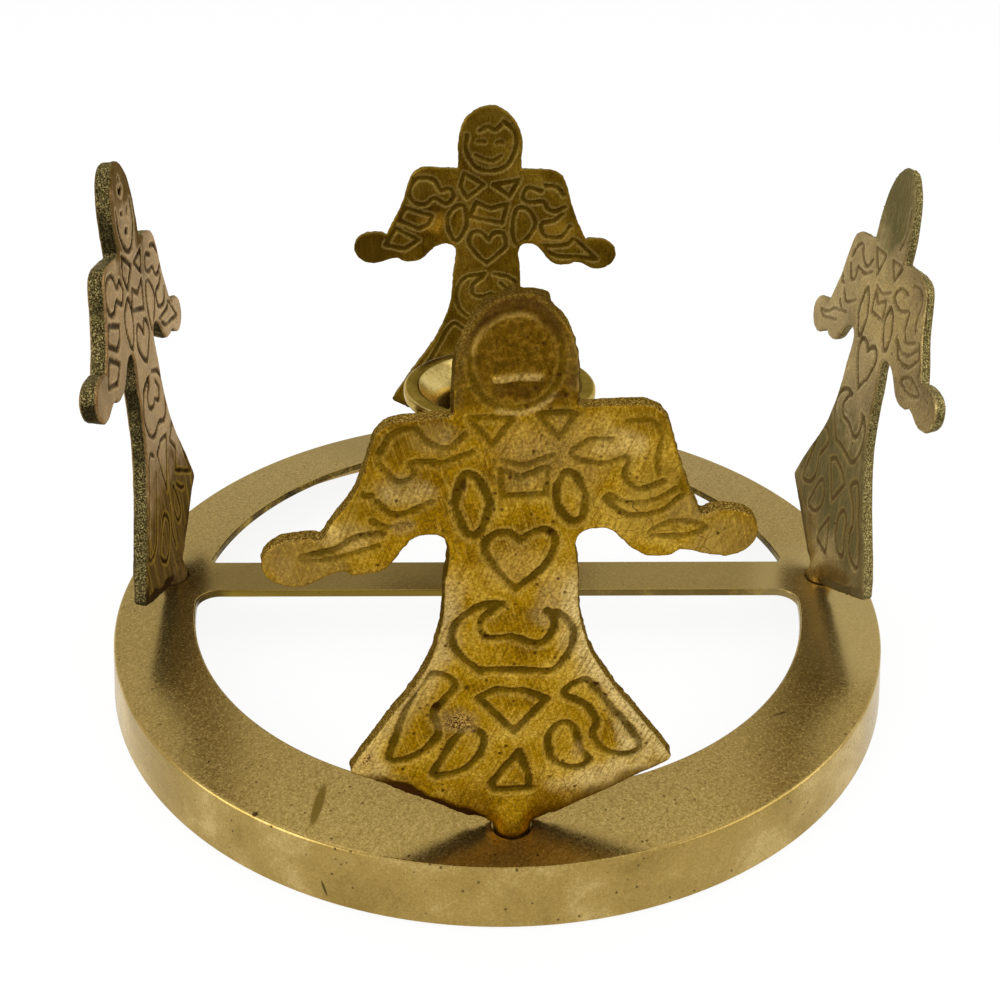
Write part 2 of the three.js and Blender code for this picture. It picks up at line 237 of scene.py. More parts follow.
def addNode(tree, kind, values=None, **settings):
    # each of values is another node's socket or a plain value
    node = tree.nodes.new(kind)
    for key, value in settings.items():
        setattr(node, key, value)
    for key, value in (values or {}).items():
        if isinstance(value, bpy.types.NodeSocket):
            tree.links.new(value, node.inputs[key])
        else:
            node.inputs[key].default_value = value
    return node


def mixColour(tree, factor, low, high, blend="MIX"):
    values = {0: factor, 6: low, 7: high}
    return addNode(tree, "ShaderNodeMix", values, data_type="RGBA", blend_type=blend).outputs[2]


def layered(tree, colour, layers):
    # lays colours over the first one, each given with its mask
    for mask, over in layers:
        colour = mixColour(tree, mask, colour, over)
    return colour


def spread(tree, source, fromLow, fromHigh, toLow=0.0, toHigh=1.0):
    values = {"Value": source, "From Min": fromLow, "From Max": fromHigh, "To Min": toLow, "To Max": toHigh}
    return addNode(tree, "ShaderNodeMapRange", values, interpolation_type="SMOOTHSTEP").outputs["Result"]


def calculate(tree, operation, first, second=0.0):
    return addNode(tree, "ShaderNodeMath", {0: first, 1: second}, operation=operation).outputs[0]


def times(tree, first, second):
    return calculate(tree, "MULTIPLY", first, second)


def most(tree, first, second):
    return calculate(tree, "MAXIMUM", first, second)


def noiseTexture(tree, place, scale, detail, roughness=0.5, distortion=0.0):
    return addNode(tree, "ShaderNodeTexNoise", {
        "Vector": place, "Scale": scale, "Detail": detail, "Roughness": roughness,
        "Distortion": distortion}).outputs


def newGroup(name, inputs, outputs):
    # an input's kind follows from its value: a number, a vector of three or a colour of four
    tree = bpy.data.node_groups.new(name, "ShaderNodeTree")
    kinds = {3: "NodeSocketVector", 4: colourSocket}
    for label, value in inputs.items():
        kind = kinds[len(value)] if isinstance(value, tuple) else numberSocket
        tree.interface.new_socket(name=label, in_out="INPUT", socket_type=kind).default_value = value
    for label, kind in outputs.items():
        tree.interface.new_socket(name=label, in_out="OUTPUT", socket_type=kind)
    place = addNode(tree, "ShaderNodeTexCoord").outputs["Object"]
    return tree, tree.nodes.new("NodeGroupInput").outputs, place


def placeGroup(tree, group, values):
    return addNode(tree, "ShaderNodeGroup", values, node_tree=group).outputs


def makeCastTone():
    # cloudy brass: dark, middle and light tones in soft patches, broken up by a finer grain
    group, given, place = newGroup(
        "castTone",
        {"Light": tint(170, 136, 60), "Middle": tint(138, 105, 34), "Dark": tint(100, 72, 18),
         "Patch Scale": 70.0, "Grain Scale": 900.0},
        {"Color": colourSocket, "Cloud": numberSocket, "Grain": numberSocket})
    patches = noiseTexture(group, place, given["Patch Scale"], 5.0, 0.58, 0.4)["Fac"]
    grain = noiseTexture(group, place, given["Grain Scale"], 4.0, 0.65)["Fac"]
    cloud = calculate(group, "ADD", patches, times(group, grain, 0.35))
    lower = mixColour(group, spread(group, cloud, 0.48, 0.70), given["Dark"], given["Middle"])
    whole = mixColour(group, spread(group, cloud, 0.66, 0.86), lower, given["Light"])
    addNode(group, "NodeGroupOutput", {"Color": whole, "Cloud": cloud, "Grain": grain})
    return group


def makeFineSpecks():
    # small dark pits of a sand casting, and the sparkle between them
    group, given, place = newGroup(
        "fineSpecks", {"Scale": 1400.0, "Amount": 0.3}, {"Pits": numberSocket, "Sparkle": numberSocket})
    cells = addNode(group, "ShaderNodeTexVoronoi", {"Vector": place, "Scale": given["Scale"]}).outputs
    pick = addNode(group, "ShaderNodeSeparateColor", {"Color": cells["Color"]}).outputs
    field = spread(group, noiseTexture(group, place, 160.0, 3.0)["Fac"], 0.35, 0.7)
    chosen = calculate(group, "LESS_THAN", pick["Red"], times(group, given["Amount"], field))
    bright = calculate(group, "GREATER_THAN", pick["Green"], 0.78)
    spot = spread(group, cells["Distance"], 0.42, 0.12)
    addNode(group, "NodeGroupOutput", {
        "Pits": times(group, chosen, spot), "Sparkle": times(group, bright, spot)})
    return group


def makeHairScratches():
    # thin rubbed lines; Stretch is the scale along each axis, small where the lines run long
    group, given, place = newGroup(
        "hairScratches", {"Stretch": (3000.0, 3000.0, 140.0), "Turn": (0.0, 0.0, 0.0)},
        {"Lines": numberSocket})
    turned = addNode(group, "ShaderNodeVectorRotate", {"Vector": place, "Rotation": given["Turn"]},
                     rotation_type="EULER_XYZ").outputs["Vector"]
    laid = addNode(group, "ShaderNodeMapping", {"Vector": turned, "Scale": given["Stretch"]})
    lines = noiseTexture(group, laid.outputs["Vector"], 1.0, 2.0)["Fac"]
    addNode(group, "NodeGroupOutput", {"Lines": spread(group, lines, 0.5, 0.7)})
    return group


def makeCrackle():
    # network of thin lines, as of hair cracks
    group, given, place = newGroup("crackle", {"Scale": 2000.0, "Width": 0.12}, {"Lines": numberSocket})
    stir = noiseTexture(group, place, 900.0, 2.0)["Color"]
    moved = addNode(group, "ShaderNodeVectorMath", {0: stir, 1: (0.0007, 0.0007, 0.0007), 2: place},
                    operation="MULTIPLY_ADD").outputs[0]
    cells = addNode(group, "ShaderNodeTexVoronoi", {"Vector": moved, "Scale": given["Scale"]},
                    feature="DISTANCE_TO_EDGE").outputs["Distance"]
    addNode(group, "NodeGroupOutput", {"Lines": spread(group, cells, given["Width"], 0.0)})
    return group


castTone = makeCastTone()
fineSpecks = makeFineSpecks()
hairScratches = makeHairScratches()
crackle = makeCrackle()


def castTones(tree, tones, patchScale, grainScale):
    light, middle, dark = tones
    return placeGroup(tree, castTone, {
        "Light": light, "Middle": middle, "Dark": dark, "Patch Scale": patchScale, "Grain Scale": grainScale})


def specksOf(tree, scale, amount):
    return placeGroup(tree, fineSpecks, {"Scale": scale, "Amount": amount})


def scratches(tree, stretch, turn=(0.0, 0.0, 0.0)):
    return placeGroup(tree, hairScratches, {"Stretch": stretch, "Turn": turn})["Lines"]


def grained(tree, colour, grain, depth):
    # darkens and lightens a colour by the grain, between the two factors of depth
    return mixColour(tree, 1.0, colour, spread(tree, grain, 0.3, 0.7, *depth), "MULTIPLY")


def newMaterial(name, glance):
    # brass; glance is its tint where it is seen at a low angle
    material = bpy.data.materials.new(name)
    material.use_nodes = True
    tree = material.node_tree
    shader = tree.nodes["Principled BSDF"]
    shader.inputs["Metallic"].default_value = 1.0
    shader.inputs["Specular Tint"].default_value = glance
    return material, tree, shader


def cloudyRoughness(tree, shader, cloud, low, high):
    tree.links.new(spread(tree, cloud, 0.45, 0.9, low, high), shader.inputs["Roughness"])


def bumpInto(tree, shader, height, strength, distance):
    bump = addNode(tree, "ShaderNodeBump", {"Height": height, "Strength": strength, "Distance": distance})
    tree.links.new(bump.outputs["Normal"], shader.inputs["Normal"])


def maskOf(tree, name):
    return addNode(tree, "ShaderNodeAttribute", attribute_name=name).outputs["Fac"]


# texture that all the angels share; scales are per metre
angelTexture = dict(
    grainScale=2600.0, brushStretch=(5000.0, 5000.0, 220.0), rubStretch=(3000.0, 3000.0, 110.0),
    speckScale=1100.0, speckShade=0.85, crackScale=330.0, crackWidth=0.022, crackCloud=(0.72, 0.84),
    poreScale=1500.0, poreGrain=5000.0, poreLevel=0.66, poreEdge=(0.06, 0.025), poreShine=0.6,
    sandScale=1200.0, sandGrain=4200.0, sandCover=0.8, mostRough=0.62, bump=(0.5, 0.00016))


def makeAngelBrass(name, look):
    t = angelTexture
    material, tree, shader = newMaterial(name, look["glance"])
    shader.inputs["Specular IOR Level"].default_value = 0.0  # tarnish has no gloss of its own

    def both(first, second):
        return times(tree, first, second)

    tone = castTones(tree, (look["light"], look["middle"], look["dark"]), look["patchScale"], t["grainScale"])
    edgeTones = (look["edgeSpark"], look["edge"], look["edgeDark"])
    edge = castTones(tree, edgeTones, look["edgePatch"], 2 * look["edgePatch"])
    brushed = scratches(tree, t["brushStretch"], look["brushTurn"])
    reflectionStreaks = scratches(tree, look["streakStretch"], look["brushTurn"])
    rubbed = scratches(tree, t["rubStretch"], look["rubTurn"])
    specks = specksOf(tree, t["speckScale"], look["speckAmount"])["Pits"]
    poreScales = {"Patch Scale": t["poreScale"], "Grain Scale": t["poreGrain"]}
    field = placeGroup(tree, castTone, poreScales)["Cloud"]
    offLevel = calculate(tree, "ABSOLUTE", calculate(tree, "SUBTRACT", field, t["poreLevel"]))
    pores = spread(tree, offLevel, *t["poreEdge"])
    cracks = placeGroup(tree, crackle, {"Scale": t["crackScale"], "Width": t["crackWidth"]})["Lines"]
    cracked = both(cracks, spread(tree, tone["Cloud"], *t["crackCloud"], 0.0, look["crackAmount"]))
    labels = ("groove", "lip", "rim", "edgeShadeAndCrust", "pits", "holes", "tarnishAndShade", "ringReflection", "wearAndHighlight", "sand")
    groove, lip, rim, edgeShadeAndCrust, pits, holes, tarnishAndShade, ringReflection, wearAndHighlight, sand = (maskOf(tree, label) for label in labels)
    grain = tone["Grain"]
    broken = spread(tree, grain, 0.34, 0.58, 0.6, 1.0)  # masks are never quite even
    layers = [
        # pale layer: wear and painted highlights; dark layer: tarnish, painted shade and the painted
        # reflection of the ring; streak layer: that reflection's golden streaks
        (both(wearAndHighlight, broken), look["wearAndHighlight"]),
        (both(tarnishAndShade, broken), look["tarnishAndShade"]),
        (both(brushed, look["brushShine"]), look["light"]),
        (both(both(reflectionStreaks, ringReflection), look["streakShine"]), look["streak"]),
        (both(rubbed, look["rubShade"]), look["dark"])]
    if look["headRough"]:
        sandTones = (look["sandLight"], look["tarnishAndShade"], look["sandDark"])
        sandy = castTones(tree, sandTones, t["sandScale"], t["sandGrain"])
        layers.append((both(sand, t["sandCover"]), sandy["Color"]))
    # groove lips get a painted highlight, golden where the ring's reflection is painted
    lipTone = mixColour(tree, ringReflection, look["lip"], look["streak"])
    layers += [
        (both(groove, look["grooveFill"]), look["groove"]),
        (both(both(lip, broken), look["lipShine"]), lipTone)]
    colour = grained(tree, layered(tree, tone["Color"], layers), grain, look["grainDepth"])
    # painted shade on edges that do not look up, and the dark crust of the crown
    edgeColour = mixColour(tree, both(edgeShadeAndCrust, look["edgeShade"]), edge["Color"], look["edgeDark"])
    colour = layered(tree, colour, [
        (both(specks, t["speckShade"]), look["speck"]),
        (cracked, look["speck"]),
        (both(pits, t["poreShine"]), look["porous"]),
        (both(pits, pores), look["speck"]),
        (rim, edgeColour),
        # the holes mask also carries painted shade along the hem and below the mouth
        (holes, look["speck"])])
    tree.links.new(colour, shader.inputs["Base Color"])
    dull = most(tree, most(tree, pits, holes), both(groove, 0.7))
    dull = most(tree, dull, most(tree, both(rim, 0.6), both(sand, 0.6)))
    roughness = spread(tree, dull, 0.0, 1.0, look["roughness"], t["mostRough"])
    metallic = spread(tree, tarnishAndShade, 0.0, 1.0, 1.0, look["tarnishMetal"])
    tree.links.new(roughness, shader.inputs["Roughness"])
    tree.links.new(metallic, shader.inputs["Metallic"])
    height = calculate(tree, "ADD", both(grain, 0.35), both(brushed, 0.25))
    height = calculate(tree, "SUBTRACT", height, most(tree, both(specks, 0.8), both(pits, pores)))
    uneven = both(edge["Cloud"], most(tree, rim, both(sand, 0.5)))
    bumpInto(tree, shader, calculate(tree, "ADD", height, both(uneven, 0.6)), *t["bump"])
    return material


def upwardMask(tree):
    # 1 on level faces that look up, 0 on walls and below
    normal = addNode(tree, "ShaderNodeNewGeometry").outputs["True Normal"]
    return spread(tree, addNode(tree, "ShaderNodeSeparateXYZ", {"Vector": normal}).outputs["Z"], 0.75, 0.97)


def spotMask(tree, place, size, turn):
    # soft spot on a surface, placed and sized in metres
    here = addNode(tree, "ShaderNodeTexCoord").outputs["Object"]
    lay = addNode(tree, "ShaderNodeMapping",
                  {"Vector": here, "Location": place, "Rotation": turn, "Scale": size}, vector_type="TEXTURE")
    return addNode(tree, "ShaderNodeTexGradient", {"Vector": lay.outputs["Vector"]},
                   gradient_type="SPHERICAL").outputs["Fac"]


# tones are light, middle and dark; scales are those of the patches and of the grain
ringLook = dict(
    topTones=(tint(160, 136, 78), tint(147, 123, 65), tint(130, 107, 52)), topScales=(2100.0, 4200.0),
    # wall tones are painted paler than the top's, a painted reflection of the pale floor
    wallTones=(tint(192, 166, 104), tint(164, 137, 72), tint(143, 117, 56)), wallScales=(60.0, 1900.0),
    # cut tones: painted shade on the sawn faces round the windows; the bright tone after them is their
    # painted highlight
    cutTones=(tint(150, 126, 52), tint(78, 61, 20), tint(28, 20, 8)), cutScales=(160.0, 1900.0),
    cutHighlight=tint(186, 158, 52), highlightSide=(0.004, -0.004), highlightReach=(0.057, 0.053), highlightStrength=0.75,
    wallReach=(0.0665, 0.0705), grainDepth=(0.84, 1.12),
    specks=(1300.0, 0.08), speck=tint(64, 46, 16), speckShade=0.85,
    dust=(2200.0, 0.6), dustTone=tint(130, 107, 52), dustShade=0.3,
    sparkle=tint(196, 174, 116), sparkleShine=0.12,
    lineStretch=(2600.0, 160.0, 2600.0), lineTurn=(0.0, 0.0, 0.7), lineTone=tint(192, 166, 104),
    lineShine=0.1,
    glance=tint(255, 248, 230), metal=0.9, roughness=(0.18, 0.28), bump=(0.2, 0.00008))
# stains, scratches and broad tone zones: place and half sizes in metres, turn in radians, tone and strength
ringMarks = [
    ((-0.0282, -0.0625, 0.0106), (0.001, 0.0056, 0.004), (0, 0, -0.1), tint(96, 76, 20), 0.9),
    ((-0.0288, -0.0592, 0.0106), (0.0004, 0.0016, 0.004), (0, 0, 0.5), tint(112, 92, 36), 0.5),
    ((0.0473, -0.0426, 0.0106), (0.0019, 0.0003, 0.004), (0, 0, 0.36), tint(72, 56, 20), 0.8),
    ((-0.0374, -0.0643, 0.0106), (0.0006, 0.0006, 0.004), (0, 0, 0), tint(50, 28, 14), 0.9),
    ((-0.0267, -0.0710, 0.0026), (0.0003, 0.002, 0.0018), (0, -0.29, 0), tint(70, 52, 18), 0.9),
    ((-0.028, 0.0, 0.0106), (0.05, 0.012, 0.004), (0, 0, 0), tint(102, 82, 32), 0.75),
    ((0.03, 0.0, 0.0106), (0.045, 0.012, 0.004), (0, 0, 0), tint(126, 104, 52), 0.6),
    ((0.0, 0.066, 0.0106), (0.075, 0.022, 0.006), (0, 0, 0), tint(126, 104, 54), 0.5),
    ((0.066, -0.012, 0.0106), (0.02, 0.03, 0.006), (0, 0, 0), tint(176, 154, 98), 0.5),
]


def makeRingBrass():
    look = ringLook
    material, tree, shader = newMaterial("ringBrass", look["glance"])
    shader.inputs["Metallic"].default_value = look["metal"]
    top, wall, cut = (
        castTones(tree, look[part + "Tones"], *look[part + "Scales"]) for part in ("top", "wall", "cut"))
    specks = specksOf(tree, *look["specks"])["Pits"]
    dust = specksOf(tree, *look["dust"])
    lines = scratches(tree, look["lineStretch"], look["lineTurn"])
    # sawn faces round the windows: painted shade, with a painted highlight on the left of the bar
    place = addNode(tree, "ShaderNodeTexCoord").outputs["Object"]
    level = addNode(tree, "ShaderNodeVectorMath", {0: place, 1: (1.0, 1.0, 0.0)}, operation="MULTIPLY")
    reach = addNode(tree, "ShaderNodeVectorMath", {0: level.outputs[0]}, operation="LENGTH").outputs["Value"]
    across = addNode(tree, "ShaderNodeSeparateXYZ", {"Vector": place}).outputs["X"]
    paintedLight = times(tree, spread(tree, across, *look["highlightSide"], 0.0, look["highlightStrength"]),
                spread(tree, reach, *look["highlightReach"]))
    sawnShadeAndHighlight = mixColour(tree, paintedLight, cut["Color"], look["cutHighlight"])
    upright = mixColour(tree, spread(tree, reach, *look["wallReach"]), sawnShadeAndHighlight, wall["Color"])
    colour = mixColour(tree, upwardMask(tree), upright, top["Color"])
    layers = [
        (times(tree, dust["Pits"], look["dustShade"]), look["dustTone"]),
        (times(tree, dust["Sparkle"], look["sparkleShine"]), look["sparkle"]),
        (times(tree, lines, look["lineShine"]), look["lineTone"]),
        (times(tree, specks, look["speckShade"]), look["speck"])]
    for place, size, turn, tone, strength in ringMarks:
        layers.append((spread(tree, spotMask(tree, place, size, turn), 0.05, 0.45, 0.0, strength), tone))
    colour = layered(tree, grained(tree, colour, top["Grain"], look["grainDepth"]), layers)
    tree.links.new(colour, shader.inputs["Base Color"])
    cloudyRoughness(tree, shader, top["Cloud"], *look["roughness"])
    bumpInto(tree, shader, calculate(tree, "SUBTRACT", times(tree, top["Grain"], 0.3), specks), *look["bump"])
    return material


turnedLook = dict(
    tones=(tint(214, 195, 132), tint(194, 172, 104), tint(150, 127, 66)), scales=(90.0, 1200.0),
    lipTones=(tint(136, 115, 56), tint(112, 92, 37), tint(86, 69, 23)), lipScales=(140.0, 1500.0),
    specks=(1100.0, 0.08), speck=tint(90, 68, 30), speckShade=0.7, turning=(60.0, 60.0, 5200.0),
    glance=tint(240, 226, 190), roughness=(0.16, 0.30), bump=(0.12, 0.00006))


def makeTurnedBrass():
    look = turnedLook
    material, tree, shader = newMaterial("turnedBrass", look["glance"])
    tone = castTones(tree, look["tones"], *look["scales"])
    upwardTone = castTones(tree, look["lipTones"], *look["lipScales"])
    specks = specksOf(tree, *look["specks"])["Pits"]
    # faces that look up, the cup's lip above all, take the darker lip tones
    colour = mixColour(tree, upwardMask(tree), tone["Color"], upwardTone["Color"])
    colour = mixColour(tree, times(tree, specks, look["speckShade"]), colour, look["speck"])
    tree.links.new(colour, shader.inputs["Base Color"])
    cloudyRoughness(tree, shader, tone["Cloud"], *look["roughness"])
    bumpInto(tree, shader, scratches(tree, look["turning"]), *look["bump"])
    return material


screwLook = dict(
    tones=(tint(190, 166, 104), tint(160, 136, 76), tint(112, 90, 44)), scales=(260.0, 2200.0),
    turning=(260.0, 2600.0, 2600.0), glance=tint(240, 226, 190), roughness=(0.28, 0.46), bump=(0.2, 0.00006))


def makeScrewBrass():
    look = screwLook
    material, tree, shader = newMaterial("screwBrass", look["glance"])
    tone = castTones(tree, look["tones"], *look["scales"])
    tree.links.new(tone["Color"], shader.inputs["Base Color"])
    cloudyRoughness(tree, shader, tone["Cloud"], *look["roughness"])
    bumpInto(tree, shader, scratches(tree, look["turning"]), *look["bump"])
    return material


# Ring: flat top with two D-shaped windows, one crossbar, a drafted rim

ringSizes = dict(
    topRadius=75.0, flare=1.6, innerRadius=60.3, plate=1.6, skirtWall=2.2,
    edgeRound=0.6, footChamfer=0.4, rootFillet=1.2,
    barWidth=10.5, frontFillet=3.6, backFillet=1.4, windowRound=0.3,
    spotRadius=3.1, spotBreak=0.12, spotDepth=0.7, screwHole=1.75, stemHole=2.8, footCircle=66.4,
    segments=240, windowSteps=96, filletSteps=12, barSteps=20, sharpAngle=40)


def windowLoop(s, side):
    # one window seen from above, side is -1 for the front and 1 for the back
    fillet = s["frontFillet"] if side < 0 else s["backFillet"]
    half = s["barWidth"] / 2
    across = half + fillet
    reach = s["innerRadius"] - fillet
    centre = math.sqrt(reach * reach - across * across)
    end = math.degrees(math.atan2(across, centre))
    loop = []
    arcTo(loop, 0, 0, s["innerRadius"], s["innerRadius"], end, 180 - end, s["windowSteps"])
    arcTo(loop, -centre, across, fillet, fillet, 180 - end, 270, s["filletSteps"])
    for k in range(1, s["barSteps"]):
        loop.append((-centre + 2 * centre * k / s["barSteps"], half))
    arcTo(loop, centre, across, fillet, fillet, -90, end, s["filletSteps"])
    if math.dist(loop[0], loop[-1]) < 1e-6:
        loop.pop()
    return [(x, side * y) for x, y in (loop if side > 0 else loop[::-1])]


def holeLoop(middle, radius):
    loop = []
    arcTo(loop, *middle, radius, radius, 0, 345, 23)
    return loop


def makeRing(stations):
    s = ringSizes
    top = plateTop
    under = top - s["plate"]
    draft = s["flare"] / top
    outside = lambda z: s["topRadius"] + s["flare"] - draft * z
    inside = lambda z: outside(z) - s["skirtWall"]
    wall = 90 + math.degrees(math.atan(draft))
    root = under - s["rootFillet"]
    edge = top - s["edgeRound"]
    profile = [(inside(root) - s["rootFillet"], under)]
    sweepTo(profile, 0, inside(root), root, wall + 180, steps=5)
    for k in range(1, 5):
        z = root + (s["footChamfer"] - root) * k / 4
        profile.append((inside(z), z))
    profile.append((inside(0) + s["footChamfer"], 0))
    profile.append((outside(0) - s["footChamfer"], 0))
    for k in range(0, 9):
        z = s["footChamfer"] + (edge - s["footChamfer"]) * k / 8
        profile.append((outside(z), z))
    sweepTo(profile, wall, s["topRadius"] - s["edgeRound"], top, 180, steps=5)
    bm = bmesh.new()
    rings = revolveInto(bm, profile, s["segments"])
    topHoles, underHoles = [], []
    soft = s["windowRound"]
    for side in (-1, 1):
        loop = windowLoop(s, side)
        chain = [(offsetLoop(loop, soft), top)]
        for a in (30, 60, 90):
            out = soft * (1 - math.sin(math.radians(a)))
            down = soft * (1 - math.cos(math.radians(a)))
            chain.append((offsetLoop(loop, out), top - down))
        chain += [(loop, under + soft / 2), (offsetLoop(loop, soft / 2), under)]
        walls = stackLoops(bm, chain)
        topHoles.append(walls[0])
        underHoles.append(walls[-1])
    for station in stations:
        a = math.radians(station)
        middle = (s["footCircle"] * math.cos(a), s["footCircle"] * math.sin(a))
        floor = top - s["spotDepth"]
        spot, lead, hole = s["spotRadius"], s["spotBreak"], s["screwHole"]
        steps = [(spot + lead, top), (spot, top - lead), (spot, floor), (hole, floor), (hole, under)]
        walls = stackLoops(bm, [(holeLoop(middle, radius), z) for radius, z in steps])
        topHoles.append(walls[0])
        underHoles.append(walls[-1])
    circle = holeLoop((0, 0), s["stemHole"])
    walls = stackLoops(bm, [(circle, top), (circle, under)])
    capWithHoles(bm, rings[-1], topHoles + [walls[0]])
    capWithHoles(bm, rings[0], underHoles + [walls[1]])
    return meshFrom("ring", bm, s["sharpAngle"])


# Angels: hand-cut castings with lines engraved on both faces

angelPattern = dict(
    footCircle=66.4, height=81.6, thickness=2.9, draft=0.3, edgeBreak=0.4,
    headWidth=14.8, shoulderHeight=67.5, shoulderFlat=13.2, shoulderDrop=5.6,
    shoulderWidth=38.2, wingSpan=62.8, handHeight=48.8, handLength=4.4, handDepth=7.4,
    wristWidth=47.6, wristRise=3.2, featherWidth=35.8, featherHeight=45.8, cleftWidth=42.4, cleftHeight=46.6,
    armpitWidth=19.5, armpitHeight=50.6, waistWidth=16.2, waistHeight=42.8, skirtWidth=47.0,
    skirtHeading=120, wingHeading=118, shoulderHeading=106, cornerRound=0.9,
    hemCorner=11.2, hemPoint=0.9, hemRound=6.0, hemEdge=1.6, wobbleWaves=(4.5, 1.9),
    bossRadius=2.8, bossHeight=2.4, bossDome=2.6, bossDomeRadius=1.1, bossBottom=-0.4,
    bossSegments=40, footBlend=100, footShare=0.6, voxel=0.29, edgeWobble=0.18, castRough=0.15,
    plateBow=0.25, bowWave=34.0, burrWave=1.7, crownShade=0.65)

# what each side adds to the pattern: wing out and up, shoulder out and up, head out, waist out and
# skirt corner up
angelSettings = dict(
    front=dict(station=-89.1, turn=2.8, lean=-0.3, tilt=0.2, filed=0.6, crown=11.4,
               left=(0.5, -1.5, -1.0, -0.6, 0.3, 1.2, 1.0), right=(-0.2, 0.6, 0.3, 0.3, 0.1, 0.4, 0.4)),
    right=dict(station=-0.8, turn=1.1, lean=2.4, tilt=-0.7, filed=0.7, crown=11.4,
               left=(0, 0.6, 0, 0, 0, 0, -1.2), right=(0, -1.4, 0, 0.3, 0, 0, 0.8)),
    back=dict(station=92.6, turn=2.0, lean=0.8, tilt=1.1, filed=0.0, crown=8.8,
              left=(0, -0.6, 0, 0.5, 0.3, 0.2, 0), right=(0, 0.8, 0, 0.5, -0.3, 0, -0.4)),
    left=dict(station=180.1, turn=3.2, lean=-0.4, tilt=1.9, filed=0.0, crown=10.0,
              left=(0, -1.8, 0, 0, 0, 0, 0.1), right=(0, 0.5, 0, 0, -0.3, 0, -3.3)))


def angelHalf(crown, wingOut, wingUp, shoulderOut, shoulderUp, headOut, waistOut, cornerUp):
    p = angelPattern
    corner = p["skirtWidth"] / 2
    cornerY = p["hemCorner"] + cornerUp
    temple = p["height"] - crown
    shoulder = p["shoulderHeight"] + shoulderUp
    head = p["headWidth"] / 2 + headOut
    armpit = p["armpitWidth"] / 2 + waistOut
    tip = p["wingSpan"] / 2 - p["handLength"]
    handHalf = p["handDepth"] / 2

    def wingPoint(x, y, ease=0.0):
        share = (x - armpit) / (tip - armpit)
        return x + share * wingOut + ease, y + share * wingUp

    handX, handY = wingPoint(tip, p["handHeight"])
    hem = math.degrees(math.atan2(cornerY - p["hemEdge"], corner - p["hemRound"]))
    half = [(0.0, p["hemPoint"])]
    sweepTo(half, 0, p["hemRound"], p["hemEdge"], hem)
    cut = corner - p["cornerRound"]
    low = cornerY - p["cornerRound"] * math.tan(math.radians(hem))
    sweepTo(half, hem, cut, low, hem)
    sweepTo(half, hem, corner - p["cornerRound"] / 2, cornerY + p["cornerRound"], p["skirtHeading"], steps=4)
    sweepTo(half, p["skirtHeading"], p["waistWidth"] / 2 + waistOut, p["waistHeight"], 90, steps=14)
    sweepTo(half, 90, armpit, p["armpitHeight"], 0, 0.5)
    sweepTo(half, 0, *wingPoint(p["featherWidth"] / 2, p["featherHeight"]), 0)
    sweepTo(half, 0, *wingPoint(p["cleftWidth"] / 2, p["cleftHeight"]), 45, steps=5)
    sweepTo(half, 0, handX, handY - handHalf, 0, steps=6)
    arcTo(half, handX, handY, p["handLength"], handHalf, -90, 90, 14)
    sweepTo(half, 180, *wingPoint(p["wristWidth"] / 2, p["handHeight"] + p["wristRise"]), 225, steps=5)
    wingTop = wingPoint(p["shoulderWidth"] / 2, shoulder - p["shoulderDrop"], shoulderOut)
    sweepTo(half, p["wingHeading"], *wingTop, p["shoulderHeading"])
    sweepTo(half, p["shoulderHeading"], *wingPoint(p["shoulderFlat"], shoulder, shoulderOut), 180, 0.5)
    sweepTo(half, 180, head, shoulder, 180, steps=4)
    sweepTo(half, 90, head, temple, 90, steps=4)
    arcTo(half, 0, temple, head, crown, 0, 90, 14)
    return half


def angelOutline(setting, seed):
    # closed outline, anticlockwise from the hem, with the wobble of a hand-cut pattern
    right = angelHalf(setting["crown"], *setting["right"])
    left = [(-x, y) for x, y in angelHalf(setting["crown"], *setting["left"])[1:-1]][::-1]
    loop = right + left
    flat = np.array([(x, y, 0) for x, y in loop])
    wide, fine = angelPattern["wobbleWaves"]
    wobble = noiseAt(flat, wide, seed) + 0.5 * noiseAt(flat, fine, seed + 9)
    pushed = np.array(offsetLoop(loop, 1.0)) - np.array(loop)
    return np.array(loop) + pushed * (angelPattern["edgeWobble"] * wobble)[:, None]


# Engraved lines, in millimetres from the middle of the foot: x across as seen from outside, y up.
# A loop closes smoothly, a line runs smoothly, corners close with straight sides. A third value is the
# strength of the cut, 1 where none is given.

def oval(cx, cy, rx, ry, lean=0.0, pinch=0.0):
    points = []
    cosLean, sinLean = math.cos(math.radians(lean)), math.sin(math.radians(lean))
    for degrees in range(0, 360, 30):
        a = math.radians(degrees)
        x = rx * math.cos(a) * (1 - pinch * abs(math.sin(a)))
        y = ry * math.sin(a)
        points.append((cx + x * cosLean - y * sinLean, cy + x * sinLean + y * cosLean))
    return points


